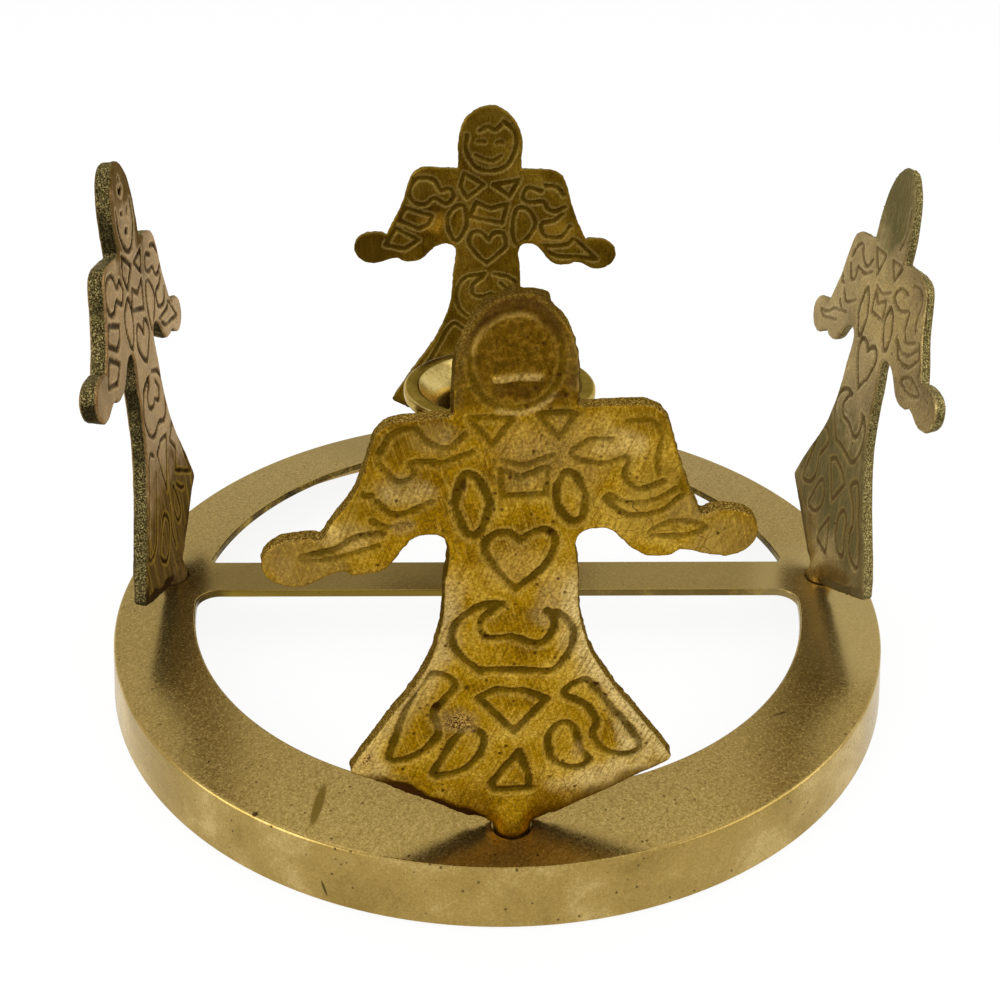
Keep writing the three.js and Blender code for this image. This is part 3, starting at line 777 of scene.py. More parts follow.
boldLines = [
    ("loop", oval(-0.2, 73.5, 5.4, 5.9), 0.4),
    ("corners", [(-5.7, 66.7), (-0.7, 66.4), (-2.8, 62.8)], 0.6),
    ("corners", [(2.5, 66.6), (7.2, 66.8), (5.0, 63.6)], 0.6),
    ("line", [(-16.2, 62.4), (-14.8, 64.8), (-12.2, 65.6), (-10.9, 63.7), (-8.4, 62.6), (-6.2, 64.3)], 0.6),
    ("line", [(-16.2, 61.0), (-14.3, 58.5), (-12.4, 59.3), (-12.6, 61.0), (-8.7, 61.0), (-5.5, 62.2)], 0.6),
    ("line", [(-19.0, 58.0), (-18.6, 56.7), (-17.4, 56.6)], 0.6),
    ("line", [(-16.9, 55.7), (-14.4, 53.9), (-10.3, 55.6)], 0.6),
    ("line", [(-17.6, 53.3), (-15.6, 52.1), (-13.2, 52.4)], 0.5),
    ("line", [(-16.4, 51.5), (-19.6, 50.9), (-22.6, 49.4), (-26.6, 48.5)], 0.6),
    ("line", [(-17.2, 49.5), (-21.0, 48.3), (-24.4, 47.8), (-26.8, 48.1)], 0.45),
    ("line", [(11.3, 63.2), (8.5, 63.3), (6.6, 61.2), (9.9, 60.0), (13.4, 60.8), (13.3, 58.2), (15.0, 56.4),
              (18.3, 57.3)], 0.6),
    ("line", [(13.0, 65.4), (15.8, 65.5), (17.4, 63.4), (17.0, 60.2), (17.6, 58.6)], 0.4),
    ("line", [(11.2, 55.6), (14.0, 54.4), (17.2, 54.8), (19.6, 56.2)], 0.45),
    ("line", [(10.9, 55.2), (13.8, 52.9), (17.8, 52.9), (20.6, 55.0)], 0.65),
    ("line", [(20.2, 57.6), (20.7, 56.2), (21.6, 55.2)], 0.6),
    ("loop", [(16.6, 50.0), (20.2, 51.8), (24.4, 50.4), (20.6, 49.3)], 0.5),
    ("loop", oval(-5.4, 54.9, 2.1, 4.4, 4, 0.25)),
    ("loop", oval(6.7, 55.5, 1.9, 3.6, 12, 0.25)),
    ("corners", [(-1.9, 59.9), (0.5, 58.4), (3.7, 59.8), (3.6, 56.2), (-1.7, 56.1)], 0.55),
    ("line", [(-1.6, 60.9), (1.0, 60.3), (4.4, 61.4)], 0.4),
    ("line", [(0.5, 49.5), (-1.0, 50.7), (-2.9, 50.6), (-3.9, 48.7), (-2.6, 45.5), (0.2, 42.2)]),
    ("line", [(0.5, 49.5), (2.2, 50.7), (4.0, 50.7), (4.9, 48.9), (3.5, 45.5), (0.2, 42.2)]),
    ("line", [(-1.6, 40.0), (-4.4, 39.8), (-7.2, 38.3), (-8.3, 35.4), (-7.4, 32.4), (-4.4, 29.1)]),
    ("line", [(-4.6, 29.3), (-0.3, 29.2), (4.4, 28.7)]),
    ("line", [(4.2, 28.7), (5.9, 29.3), (7.2, 31.8), (7.8, 34.6), (7.2, 36.8), (5.6, 38.4)]),
    ("line", [(-2.2, 39.8), (-4.3, 37.8), (-4.6, 36.0), (-3.4, 34.7), (-0.3, 34.8), (2.2, 33.7), (4.0, 33.6),
              (5.1, 35.2), (5.2, 37.2), (4.4, 38.6)]),
    ("loop", [(-10.3, 29.2), (-7.9, 27.4), (-9.4, 24.6), (-10.9, 22.4), (-10.4, 18.6), (-13.2, 15.3),
              (-17.4, 14.2), (-16.4, 18.4), (-14.5, 23.9), (-12.6, 28.0)]),
    ("loop", [(-6.2, 19.2), (-4.3, 17.6), (-4.4, 14.8), (-6.2, 12.2), (-8.6, 11.2), (-11.2, 11.2),
              (-9.6, 15.0), (-8.0, 17.8)]),
    ("corners", [(-4.9, 24.7), (-2.4, 26.0), (1.4, 25.5), (4.4, 24.0), (0.2, 18.3)]),
    ("corners", [(0.8, 14.6), (2.3, 10.4), (2.6, 7.5), (-2.7, 7.4), (-2.9, 9.0)]),
    ("loop", [(6.8, 19.5), (8.7, 18.2), (9.4, 15.0), (11.0, 12.0), (9.0, 11.2), (6.1, 12.2), (5.1, 14.6),
              (5.1, 17.6)]),
    ("loop", [(7.0, 24.6), (9.4, 26.9), (11.2, 25.4), (13.6, 21.6), (16.2, 18.0), (18.0, 14.8), (17.4, 13.3),
              (15.2, 13.2), (12.8, 14.3), (11.3, 17.0), (11.6, 19.4), (9.9, 22.4)]),
]

fineLines = [
    ("corners", [(-7.0, 65.3), (-1.2, 64.2), (-5.0, 61.6)]),
    ("corners", [(0.9, 64.2), (5.6, 66.8), (6.5, 63.6), (5.0, 61.3)]),
    ("loop", [(8.0, 61.6), (8.9, 63.6), (11.0, 63.1), (12.8, 65.4), (16.2, 65.5), (18.3, 63.0), (17.2, 60.3),
              (14.6, 59.9), (12.6, 61.2), (9.8, 59.9)]),
    ("line", [(-18.2, 59.4), (-16.2, 58.2), (-14.0, 59.0), (-13.0, 60.4), (-9.6, 60.3), (-8.2, 61.6),
              (-9.4, 63.6), (-12.4, 62.9)]),
    ("line", [(-17.6, 62.2), (-16.0, 64.0), (-13.6, 64.1)]),
    ("corners", [(13.0, 57.1), (19.2, 59.0), (20.8, 56.3), (16.3, 54.0), (13.8, 55.2)]),
    ("corners", [(16.2, 51.5), (21.4, 54.1), (24.2, 50.4), (19.4, 49.2)]),
    ("line", [(-19.6, 54.8), (-17.6, 52.2), (-13.6, 52.8), (-12.8, 55.4), (-15.8, 56.2), (-17.6, 57.4)]),
    ("line", [(-26.8, 46.8), (-23.6, 49.6), (-20.8, 51.6), (-19.0, 50.3), (-12.4, 50.2)]),
    ("line", [(-26.2, 46.9), (-21.6, 47.4), (-17.0, 47.8), (-13.8, 49.2)]),
    ("loop", [(-11.4, 55.6), (-9.6, 58.5), (-6.8, 58.7), (-5.8, 54.0), (-7.0, 50.4), (-10.0, 52.5)]),
    ("loop", [(5.4, 59.5), (8.0, 58.8), (9.6, 56.0), (7.7, 51.3), (5.0, 54.8)]),
    ("corners", [(-4.6, 60.0), (-0.6, 59.0), (2.6, 60.4), (4.0, 56.9), (-3.4, 55.4)]),
    ("line", [(-0.4, 51.4), (-1.8, 53.2), (-3.6, 52.9), (-4.3, 50.4), (-2.4, 48.0), (0.0, 46.2)]),
    ("line", [(-0.4, 51.4), (1.6, 53.5), (3.4, 53.2), (4.2, 50.8), (2.4, 48.0), (0.0, 46.2)]),
    ("line", [(-2.0, 43.5), (-6.2, 42.2), (-8.4, 38.4), (-7.6, 34.2), (-5.4, 32.4), (-1.6, 33.5), (2.6, 32.5),
              (5.9, 34.2), (7.3, 38.4), (5.2, 42.3), (0.6, 43.4)]),
    ("line", [(-3.4, 41.2), (-5.1, 39.2), (-3.6, 37.4), (-1.2, 38.4), (0.6, 37.7), (3.0, 38.2), (3.4, 40.6),
              (1.0, 42.4)]),
    ("corners", [(-10.8, 30.0), (-7.0, 27.3), (-10.3, 24.3), (-8.0, 20.3), (-20.0, 14.4)]),
    ("corners", [(-5.0, 29.3), (-0.6, 30.0), (2.8, 29.0), (0.0, 20.0)]),
    ("line", [(5.3, 29.8), (8.4, 30.6), (12.8, 23.2), (17.8, 14.7), (13.0, 14.5), (8.2, 21.0), (5.5, 26.0)]),
    ("line", [(-7.4, 17.6), (-10.2, 15.2), (-12.6, 14.2)]),
    ("loop", [(-4.4, 18.4), (-3.0, 14.6), (-4.6, 10.6), (-7.8, 11.2), (-6.6, 15.0)]),
    ("loop", [(2.0, 13.6), (4.6, 16.6), (8.0, 15.0), (10.6, 11.2), (8.0, 8.3), (4.8, 9.4)]),
    ("line", [(-0.6, 15.8), (0.6, 11.4), (-0.2, 7.2)]),
]


# faces: a simple one with a chin line, one inside an oval, and a worn one
chinFace = [
    ("line", [(-0.6, 76.9), (0.2, 76.4), (1.0, 76.8)], 1.6),
    ("line", [(0.1, 78.5), (0.3, 78.8)], 0.8),
    ("line", [(-2.4, 73.4), (-1.7, 73.0)], 1.0),
    ("line", [(1.3, 73.1), (2.0, 73.4)], 1.0),
    ("line", [(-0.4, 70.0), (0.2, 69.8), (0.8, 70.1)], 1.5),
    ("line", [(-4.6, 74.2), (-4.8, 70.8), (-2.9, 67.9), (0.1, 66.7), (3.0, 67.8), (4.8, 70.6),
              (4.7, 74.0)], 1.2),
]
ovalFace = [
    ("line", [(-3.2, 78.2), (-5.7, 75.8), (-6.2, 72.4), (-4.3, 68.8), (-0.6, 67.4), (3.2, 68.6), (5.3, 71.8),
              (5.2, 75.2)]),
    ("line", [(-2.5, 77.4), (-1.2, 76.4), (0.4, 77.2), (2.2, 76.2)], 0.8),
    ("line", [(-3.2, 73.6), (-2.5, 74.0), (-1.7, 73.5)], 0.6),
    ("line", [(0.9, 73.7), (1.7, 74.0), (2.5, 73.6)], 0.6),
    ("line", [(-2.6, 70.8), (-0.8, 69.8), (1.4, 69.9), (2.8, 70.9)], 0.8),
]
wornFace = [
    ("line", [(-3.6, 74.2), (-2.2, 74.7), (-1.0, 73.8), (-1.4, 72.4)], 0.1),
    ("line", [(1.4, 73.6), (2.5, 72.2), (1.5, 70.9)], 0.1),
    ("line", [(-1.9, 70.7), (-0.6, 69.7), (0.9, 70.3)], 0.1),
    ("line", [(5.2, 75.6), (5.8, 72.0), (4.6, 68.8)], 0.4),
]


def mirrored(lines):
    return [(kind, [(-x, y) for x, y in points], *weight) for kind, points, *weight in lines]


# Lines and finish of each angel. Outer is the face away from the candle. A spot is x, y, half width,
# half height and strength. A pair for the sides is left, right.
plainLook = dict(
    outer=boldLines, patchScale=90.0, speckAmount=0.05, brushTurn=(0.0, 0.0, 0.0), brushShine=0.25,
    streakStretch=(5000.0, 5000.0, 220.0), grainDepth=(0.76, 1.14), edgePatch=3800.0, lineShade=0.0,
    rubShade=0.25, crackAmount=0.0, headRough=0.0, burr=0.0, thinTop=0.0, mouth=False,
    sideWorn=(0.0, 0.0), pitSpots=[], holeSpots=[])
angelLooks = dict(
    front=dict(
        plainLook, inner=ovalFace + fineLines,
        width=1.15, depth=0.4, hollow=0.1, grooveFill=0.95, lipShine=0.45,
        light=tint(200, 162, 60), middle=tint(158, 118, 9), dark=tint(114, 80, 5), tarnishAndShade=tint(100, 71, 8),
        wearAndHighlight=tint(220, 193, 126), groove=tint(92, 70, 10), lip=tint(190, 156, 68), speck=tint(64, 37, 11),
        porous=tint(218, 180, 100), sandLight=tint(132, 99, 30), sandDark=tint(72, 49, 8),
        edge=tint(104, 80, 30), edgeDark=tint(60, 42, 12), edgeSpark=tint(166, 138, 72),
        streak=tint(200, 162, 60), glance=tint(220, 202, 158),
        patchScale=110.0, speckAmount=0.2, brushTurn=(0.0, 0.25, 0.0), brushShine=0.4, streakShine=0.2,
        tarnishMetal=0.85, rubTurn=(0.0, -0.4, 0.0), rubShade=0.55, grainDepth=(0.7, 1.2), edgePatch=4000.0,
        edgeShade=0.75, lineShade=0.45, crackAmount=0.85, roughness=0.36, ripple=0.08, headRough=0.12,
        burr=0.75, mouth=True, hemShadowLine=(1.0, 0.1), hemShade=(0.2, 0.95), sideWorn=(0.55, 0.9),
        tarnishAndShadeSpots=[(0, 77, 9, 10, 1.0), (-15, 66, 7, 5, 0.75), (17, 67, 6, 5, 0.6), (-20, 57, 4, 6, 0.5),
                   (21, 55, 9, 7, 0.6), (27, 49, 7, 6, 0.55), (-27, 48, 7, 5, 0.6)],
        wornSpots=[(-21, 16, 4, 8, 0.5), (18, 19, 4, 12, 0.85), (16, 9, 10, 4, 0.75), (5.5, 41, 4, 6, 0.3),
                   (-27, 48, 6, 5, 0.3), (27, 48, 6, 5, 0.25), (5, 61, 8, 6, 0.2), (7.0, 74, 1.8, 6, 0.75),
                   (-13.5, 57.2, 4, 2.5, 0.4), (13, 62.4, 4, 2.5, 0.4), (-22, 51, 5, 2.4, 0.45),
                   (22, 53, 4, 2.4, 0.4), (-10, 64, 3, 2, 0.3), (0, 46, 5, 4, 0.15)],
        pitSpots=[(-7.6, 20.9, 3.3, 2.7, 1.0), (-21.4, 15.4, 2.2, 2.2, 0.9), (-14, 52.4, 1.6, 1.2, 0.5),
                  (9.2, 13.8, 1.0, 2.0, 0.5), (-29, 46.6, 2.0, 2.4, 0.3)],
        holeSpots=[(11.4, 26.0, 0.55, 0.55, 1.0), (4.3, 50.4, 0.5, 0.5, 0.9), (-10.6, 23.4, 0.6, 1.0, 1.0),
                   (-6.4, 57.6, 0.5, 1.0, 0.8), (-3.4, 34.8, 1.2, 0.35, 0.8), (4.9, 69.0, 1.2, 0.6, 0.5),
                   (6.4, 70.6, 0.7, 1.2, 0.5)]),
    right=dict(
        plainLook, inner=mirrored(wornFace + boldLines[1:]),
        width=1.0, depth=0.26, hollow=0.05, grooveFill=0.85, lipShine=0.6,
        light=tint(180, 158, 106), middle=tint(152, 130, 84), dark=tint(120, 101, 62),
        tarnishAndShade=tint(78, 73, 42),
        wearAndHighlight=tint(194, 166, 100), groove=tint(92, 72, 40), lip=tint(192, 172, 126), speck=tint(50, 38, 20),
        porous=tint(170, 146, 90), edge=tint(108, 95, 54), edgeDark=tint(44, 35, 14),
        edgeSpark=tint(190, 175, 116), streak=tint(140, 118, 62), glance=tint(246, 236, 214),
        brushTurn=(0.1, 0.0, 0.0), streakShine=0.3, streakStretch=(1300.0, 1300.0, 90.0), tarnishMetal=0.06,
        rubTurn=(-0.3, 0.0, 0.0), grainDepth=(0.72, 1.18), edgeShade=0.25, roughness=0.3, ripple=0.05,
        thinTop=0.5, hemShadowLine=(0.5, 0.5), hemShade=(0.4, 0.4),
        # the second dark spot, over the lower skirt, is a painted reflection of the ring
        tarnishAndShadeSpots=[(0, 77, 10, 11, 0.95), (0, 22, 40, 15, 0.95)],
        wornSpots=[(-6, 58, 16, 9, 0.55), (4, 2, 14, 6, 0.5)]),
    back=dict(
        plainLook, inner=ovalFace + fineLines,
        width=1.1, depth=0.32, hollow=0.08, grooveFill=0.7, lipShine=0.65,
        light=tint(134, 106, 34), middle=tint(104, 79, 12), dark=tint(78, 56, 8), tarnishAndShade=tint(72, 52, 8),
        wearAndHighlight=tint(198, 150, 44), groove=tint(66, 48, 8), lip=tint(148, 125, 66), speck=tint(44, 28, 10),
        porous=tint(130, 104, 50), edge=tint(92, 76, 36), edgeDark=tint(50, 38, 16),
        edgeSpark=tint(160, 140, 90), streak=tint(134, 106, 34), glance=tint(236, 220, 184),
        streakShine=0.1, tarnishMetal=0.8, rubTurn=(0.0, 0.35, 0.0), edgeShade=0.4, lineShade=0.25,
        roughness=0.3, ripple=0.08, hemShadowLine=(0.3, 0.3), hemShade=(0.3, 0.3),
        tarnishAndShadeSpots=[(27, 49, 7, 6, 0.9), (17, 60, 8, 8, 0.6), (0, 78, 8, 6, 0.5)],
        wornSpots=[(13, 55.5, 3.6, 2.6, 0.9), (3, 57, 4, 3, 0.25), (-16, 53, 7, 4, 0.3)]),
    left=dict(
        plainLook, inner=chinFace + fineLines,
        width=1.0, depth=0.24, hollow=0.03, grooveFill=1.0, lipShine=0.6,
        light=tint(176, 144, 100), middle=tint(146, 115, 74), dark=tint(112, 86, 50), tarnishAndShade=tint(68, 51, 8),
        wearAndHighlight=tint(192, 159, 96), groove=tint(38, 21, 7), lip=tint(204, 176, 130), speck=tint(44, 28, 14),
        porous=tint(160, 130, 80), edge=tint(64, 55, 29), edgeDark=tint(22, 17, 7),
        edgeSpark=tint(158, 143, 91), streak=tint(162, 132, 50), glance=tint(246, 234, 210),
        speckAmount=0.04, streakShine=0.45, streakStretch=(700.0, 700.0, 36.0), tarnishMetal=0.05,
        rubTurn=(0.3, 0.0, 0.0), edgeShade=0.8, roughness=0.28, ripple=0.05,
        hemShadowLine=(0.9, 0.9), hemShade=(0.6, 0.6),
        # the first dark spot, over the lower skirt, is a painted reflection of the ring; the others are
        # tarnish on the head
        tarnishAndShadeSpots=[(0, 11.3, 60, 15.4, 1.0), (0, 80, 10, 9, 0.95), (-7.0, 73, 4.0, 11, 0.95),
                   (7.0, 72, 3.8, 11, 0.9)],
        wornSpots=[(2, 34, 12, 12, 0.25)]))


def strokeOf(kind, points, shaker, jitter):
    # sampled course of one engraved line, a little off as a hand cuts it
    shaken = [(x + shaker.uniform(-jitter, jitter), y + shaker.uniform(-jitter, jitter)) for x, y in points]
    if kind == "corners":
        return np.array(shaken + shaken[:1])
    return splinePoints(shaken, kind == "loop")


def distanceTo(points, stroke, reach):
    # distance of flat points to a polyline, only worked out near it
    tooFar = 1e3
    far = np.full(len(points), tooFar)
    low, high = stroke.min(0) - reach, stroke.max(0) + reach
    near = np.nonzero(((points > low) & (points < high)).all(1))[0]
    if len(near) == 0:
        return far
    here = points[near]
    best = np.full(len(near), tooFar)
    for a, b in zip(stroke, stroke[1:]):
        way = b - a
        t = np.clip((here - a) @ way / max(way @ way, 1e-9), 0, 1)
        best = np.minimum(best, np.linalg.norm(here - a - t[:, None] * way, axis=1))
    far[near] = best
    return far


# the graver's cut: widths and waves in millimetres, wall as shares of the line's half width
engraving = dict(
    jitter=0.15, reach=3.0, unevenWave=2.6, unevenWidth=0.3, raggedWave=0.7, ragged=0.13, thinnest=0.4,
    wall=(1.12, 0.7), shoulder=1.5, lip=(0.55, 0.3), fill=0.15)


def engrave(flat, lines, look, seed):
    # cut, soft shoulder and raised lip, each 0 to 1, at flat points of one face
    e = engraving
    shaker = random.Random(seed)
    level = np.column_stack([flat, np.zeros(len(flat))])
    uneven = noiseAt(level, e["unevenWave"], seed)
    ragged = e["ragged"] * noiseAt(level, e["raggedWave"], seed + 3)
    cut, soft, lip, filled = (np.zeros(len(flat)) for _ in range(4))
    for kind, points, *weight in lines:
        strength = weight[0] if weight else 1.0
        width = look["width"] * (e["thinnest"] + (1 - e["thinnest"]) * strength)
        half = width / 2 * (1 + e["unevenWidth"] * uneven)
        stroke = strokeOf(kind, points, shaker, e["jitter"])
        away = np.maximum(distanceTo(flat, stroke, e["reach"]) + ragged, 0)
        cut = np.maximum(cut, strength ** 0.5 * smoothStep(*e["wall"], away / half))
        soft = np.maximum(soft, strength * smoothStep(half + e["shoulder"], half * 0.8, away))
        lip = np.maximum(lip, strength * smoothStep(half + e["lip"][0], half + e["lip"][1], away))
        filled = np.maximum(filled, smoothStep(half + e["fill"], half * 0.85, away))
    return cut * (0.9 + 0.3 * uneven), soft, lip * (1 - filled)


def softSpots(flat, spots, wobble, ragged=0.35, edge=(1.15, 0.5)):
    # mask of soft oval spots with uneven edges
    mask = np.zeros(len(flat))
    for x, y, halfWidth, halfHeight, strength in spots:
        away = np.hypot((flat[:, 0] - x) / halfWidth, (flat[:, 1] - y) / halfHeight) + ragged * wobble
        mask = np.maximum(mask, strength * smoothStep(*edge, away))
    return mask


def relax(co, edges, share, rounds):
    # evens out points by their neighbours, where share is above 0
    count = len(co)
    a, b = edges[:, 0], edges[:, 1]
    degree = np.maximum(np.bincount(a, minlength=count) + np.bincount(b, minlength=count), 1)
    for _ in range(rounds):
        middle = np.column_stack([
            (np.bincount(a, co[b, k], count) + np.bincount(b, co[a, k], count)) / degree for k in range(3)])
        co = co + (middle - co) * share[:, None]
    return co


def plateInto(bm, outline, filed):
    p = angelPattern
    half, draft, soft = p["thickness"] / 2, p["draft"], p["edgeBreak"]
    outer = half - filed
    layers = [(soft, -half), (soft * 0.3, -half + soft * 0.3), (0, -half + soft),
              (draft, outer - soft), (draft + soft * 0.3, outer - soft * 0.3), (draft + soft, outer)]
    rings = []
    for inset, depth in layers:
        loop = offsetLoop(outline, -inset)
        rings.append([bm.verts.new((x, -depth, y)) for x, y in loop])
    wallsBetween(bm, rings)
    bm.faces.new(rings[0][::-1])
    bm.faces.new(rings[-1])


def bossInto(bm):
    p = angelPattern
    profile = [(0, p["bossBottom"]), (p["bossRadius"], p["bossBottom"]), (p["bossRadius"], p["bossHeight"])]
    sweepTo(profile, 90, p["bossDomeRadius"], p["bossHeight"] + p["bossDome"], 180)
    profile.append((0, p["bossHeight"] + p["bossDome"]))
    revolveInto(bm, profile, p["bossSegments"])


def angelPlace(setting):
    # from the pattern's own frame to the ring
    lean = Matrix.Rotation(math.radians(setting["lean"]), 4, "X")
    tilt = Matrix.Rotation(math.radians(-setting["tilt"]), 4, "Y")
    turn = Matrix.Rotation(math.radians(setting["turn"] + setting["station"] + 90), 4, "Z")
    a = math.radians(setting["station"])
    radius = angelPattern["footCircle"]
    foot = Matrix.Translation((radius * math.cos(a), radius * math.sin(a), plateTop))
    return foot @ turn @ tilt @ lean


def arrayOf(collection, label, width, kind=np.float32):
    values = np.empty(len(collection) * width, kind)
    collection.foreach_get(label, values)
    return values.reshape(-1, width)


# Zones of an angel, each from where an effect is off to where it is full, in millimetres across from the
# middle, up from the ring or in from the edge
angelZones = dict(
    blendTop=(9.0, 6.0), blendSide=(6.5, 4.5), blendLow=(0.8, 2.4), footTop=(5.5, 3.5), footSide=(4.2, 3.4),
    lineInset=(0.5, 1.2), headLow=(66.5, 69.0), headSide=(9.0, 8.2), bevelInset=(1.9, 0.5),
    bevelSide=(6.5, 3.0), crownLow=(76.0, 80.5), bandLow=(75.0, 78.0), bandStart=(0.3, 1.0),
    bandEnd=(3.0, 1.4), wingLow=(46.0, 52.0), skirtTop=(48.0, 40.0), skirtLow=(9.0, 14.0),
    skirtInset=(4.2, 0.8), reflectionTop=(40.0, 30.0), hemTop=(13.0, 9.5), hemMiddle=(-3.0, 3.0),
    shadowLineInset=(2.0, 1.6), shadeInset=(3.2, 0.8), thinning=(20.0, 80.0), bowing=(8.0, 20.0))
# how far each feature stands out or lies in, in millimetres
angelRelief = dict(lip=0.05, pits=-0.12, holes=-0.3, bevel=-0.4, mouth=0.6)
# two wavelengths in millimetres, the share of the second, and what each adds to the seed
castNoise = dict(grain=(1.1, 0.55, 0.5, 0, 4), ripple=(6.0, 2.4, 0.6, 5, 6), wobble=(4.0, 1.4, 0.5, 14, 15))
# face of the front angel: raised mouth with a painted highlight, painted shade below it, painted gleams
# (radius, start, end) on the disc
discFace = dict(
    mouth=[(-2.5, 71.4), (0.0, 71.7), (2.4, 71.6)], mouthHighlight=0.45,
    below=[(-1.8, 70.1), (0.0, 69.9), (1.8, 70.1)], belowShade=0.55,
    middle=(-0.2, 73.5), squash=1.08, gleams=[(5.1, 65, 170), (6.0, 250, 320)], gleamHighlight=0.42)


def zone(label, value):
    return smoothStep(*angelZones[label], value)


def castField(points, label, seed):
    wide, fine, share, wideSeed, fineSeed = castNoise[label]
    return noiseAt(points, wide, seed + wideSeed) + share * noiseAt(points, fine, seed + fineSeed)


def castSkin(name, setting, look, outline):
    # plate and foot as one fine skin, with the foot running softly into the plate
    bm = bmesh.new()
    plateInto(bm, [tuple(q) for q in outline], setting["filed"])
    bossInto(bm)
    bmesh.ops.recalc_face_normals(bm, faces=bm.faces)
    rough = bpy.data.meshes.new(name + "_rough")
    bm.to_mesh(rough)
    bm.free()
    piece = addPiece("cast_" + name, rough, makeAngelBrass("angelBrass_" + name, look))
    skin = piece.modifiers.new("skin", "REMESH")
    skin.mode = "VOXEL"
    skin.voxel_size = angelPattern["voxel"]
    flattenModifiers(piece)
    mesh = piece.data
    co = arrayOf(mesh.vertices, "co", 3).astype(float)
    edges = arrayOf(mesh.edges, "vertices", 2, np.int32)
    blend = zone("blendTop", co[:, 2]) * zone("blendSide", np.abs(co[:, 0])) * zone("blendLow", co[:, 2])
    co = relax(co, edges, angelPattern["footShare"] * blend, angelPattern["footBlend"])
    mesh.vertices.foreach_set("co", co.ravel())
    mesh.update()
    return piece, co, arrayOf(mesh.vertex_normals, "vector", 3).astype(float)


def markFace(masks, flat, outer, grain):
    # paints the mouth's highlight, the disc's gleams and the shade below the mouth into the masks, and
    # returns how far the mouth stands out
    f = discFace
    ridge = distanceTo(flat, np.array(f["mouth"]), 3.0)
    near = smoothStep(0.8, 0.3, ridge)
    masks["sand"] *= 1 - 0.8 * near
    masks["tarnishAndShade"] *= 1 - near
    masks["wearAndHighlight"] = np.maximum(masks["wearAndHighlight"], f["mouthHighlight"] * smoothStep(0.9, 0.1, ridge) * outer)
    for radius, start, end in f["gleams"]:
        arc = []
        arcTo(arc, *f["middle"], radius, radius * f["squash"], start, end)
        gleam = smoothStep(0.55, 0.15, distanceTo(flat, np.array(arc), 2.0)) * outer
        masks["wearAndHighlight"] = np.maximum(masks["wearAndHighlight"], f["gleamHighlight"] * gleam)
        masks["tarnishAndShade"] *= 1 - 0.45 * gleam
        masks["sand"] *= 1 - 0.7 * gleam
    below = smoothStep(1.1, 0.5, distanceTo(flat, np.array(f["below"]), 3.0) + 0.9 * grain)
    masks["holes"] = np.maximum(masks["holes"], f["belowShade"] * below * outer)
    return angelRelief["mouth"] * smoothStep(1.0, 0.2, ridge) * outer


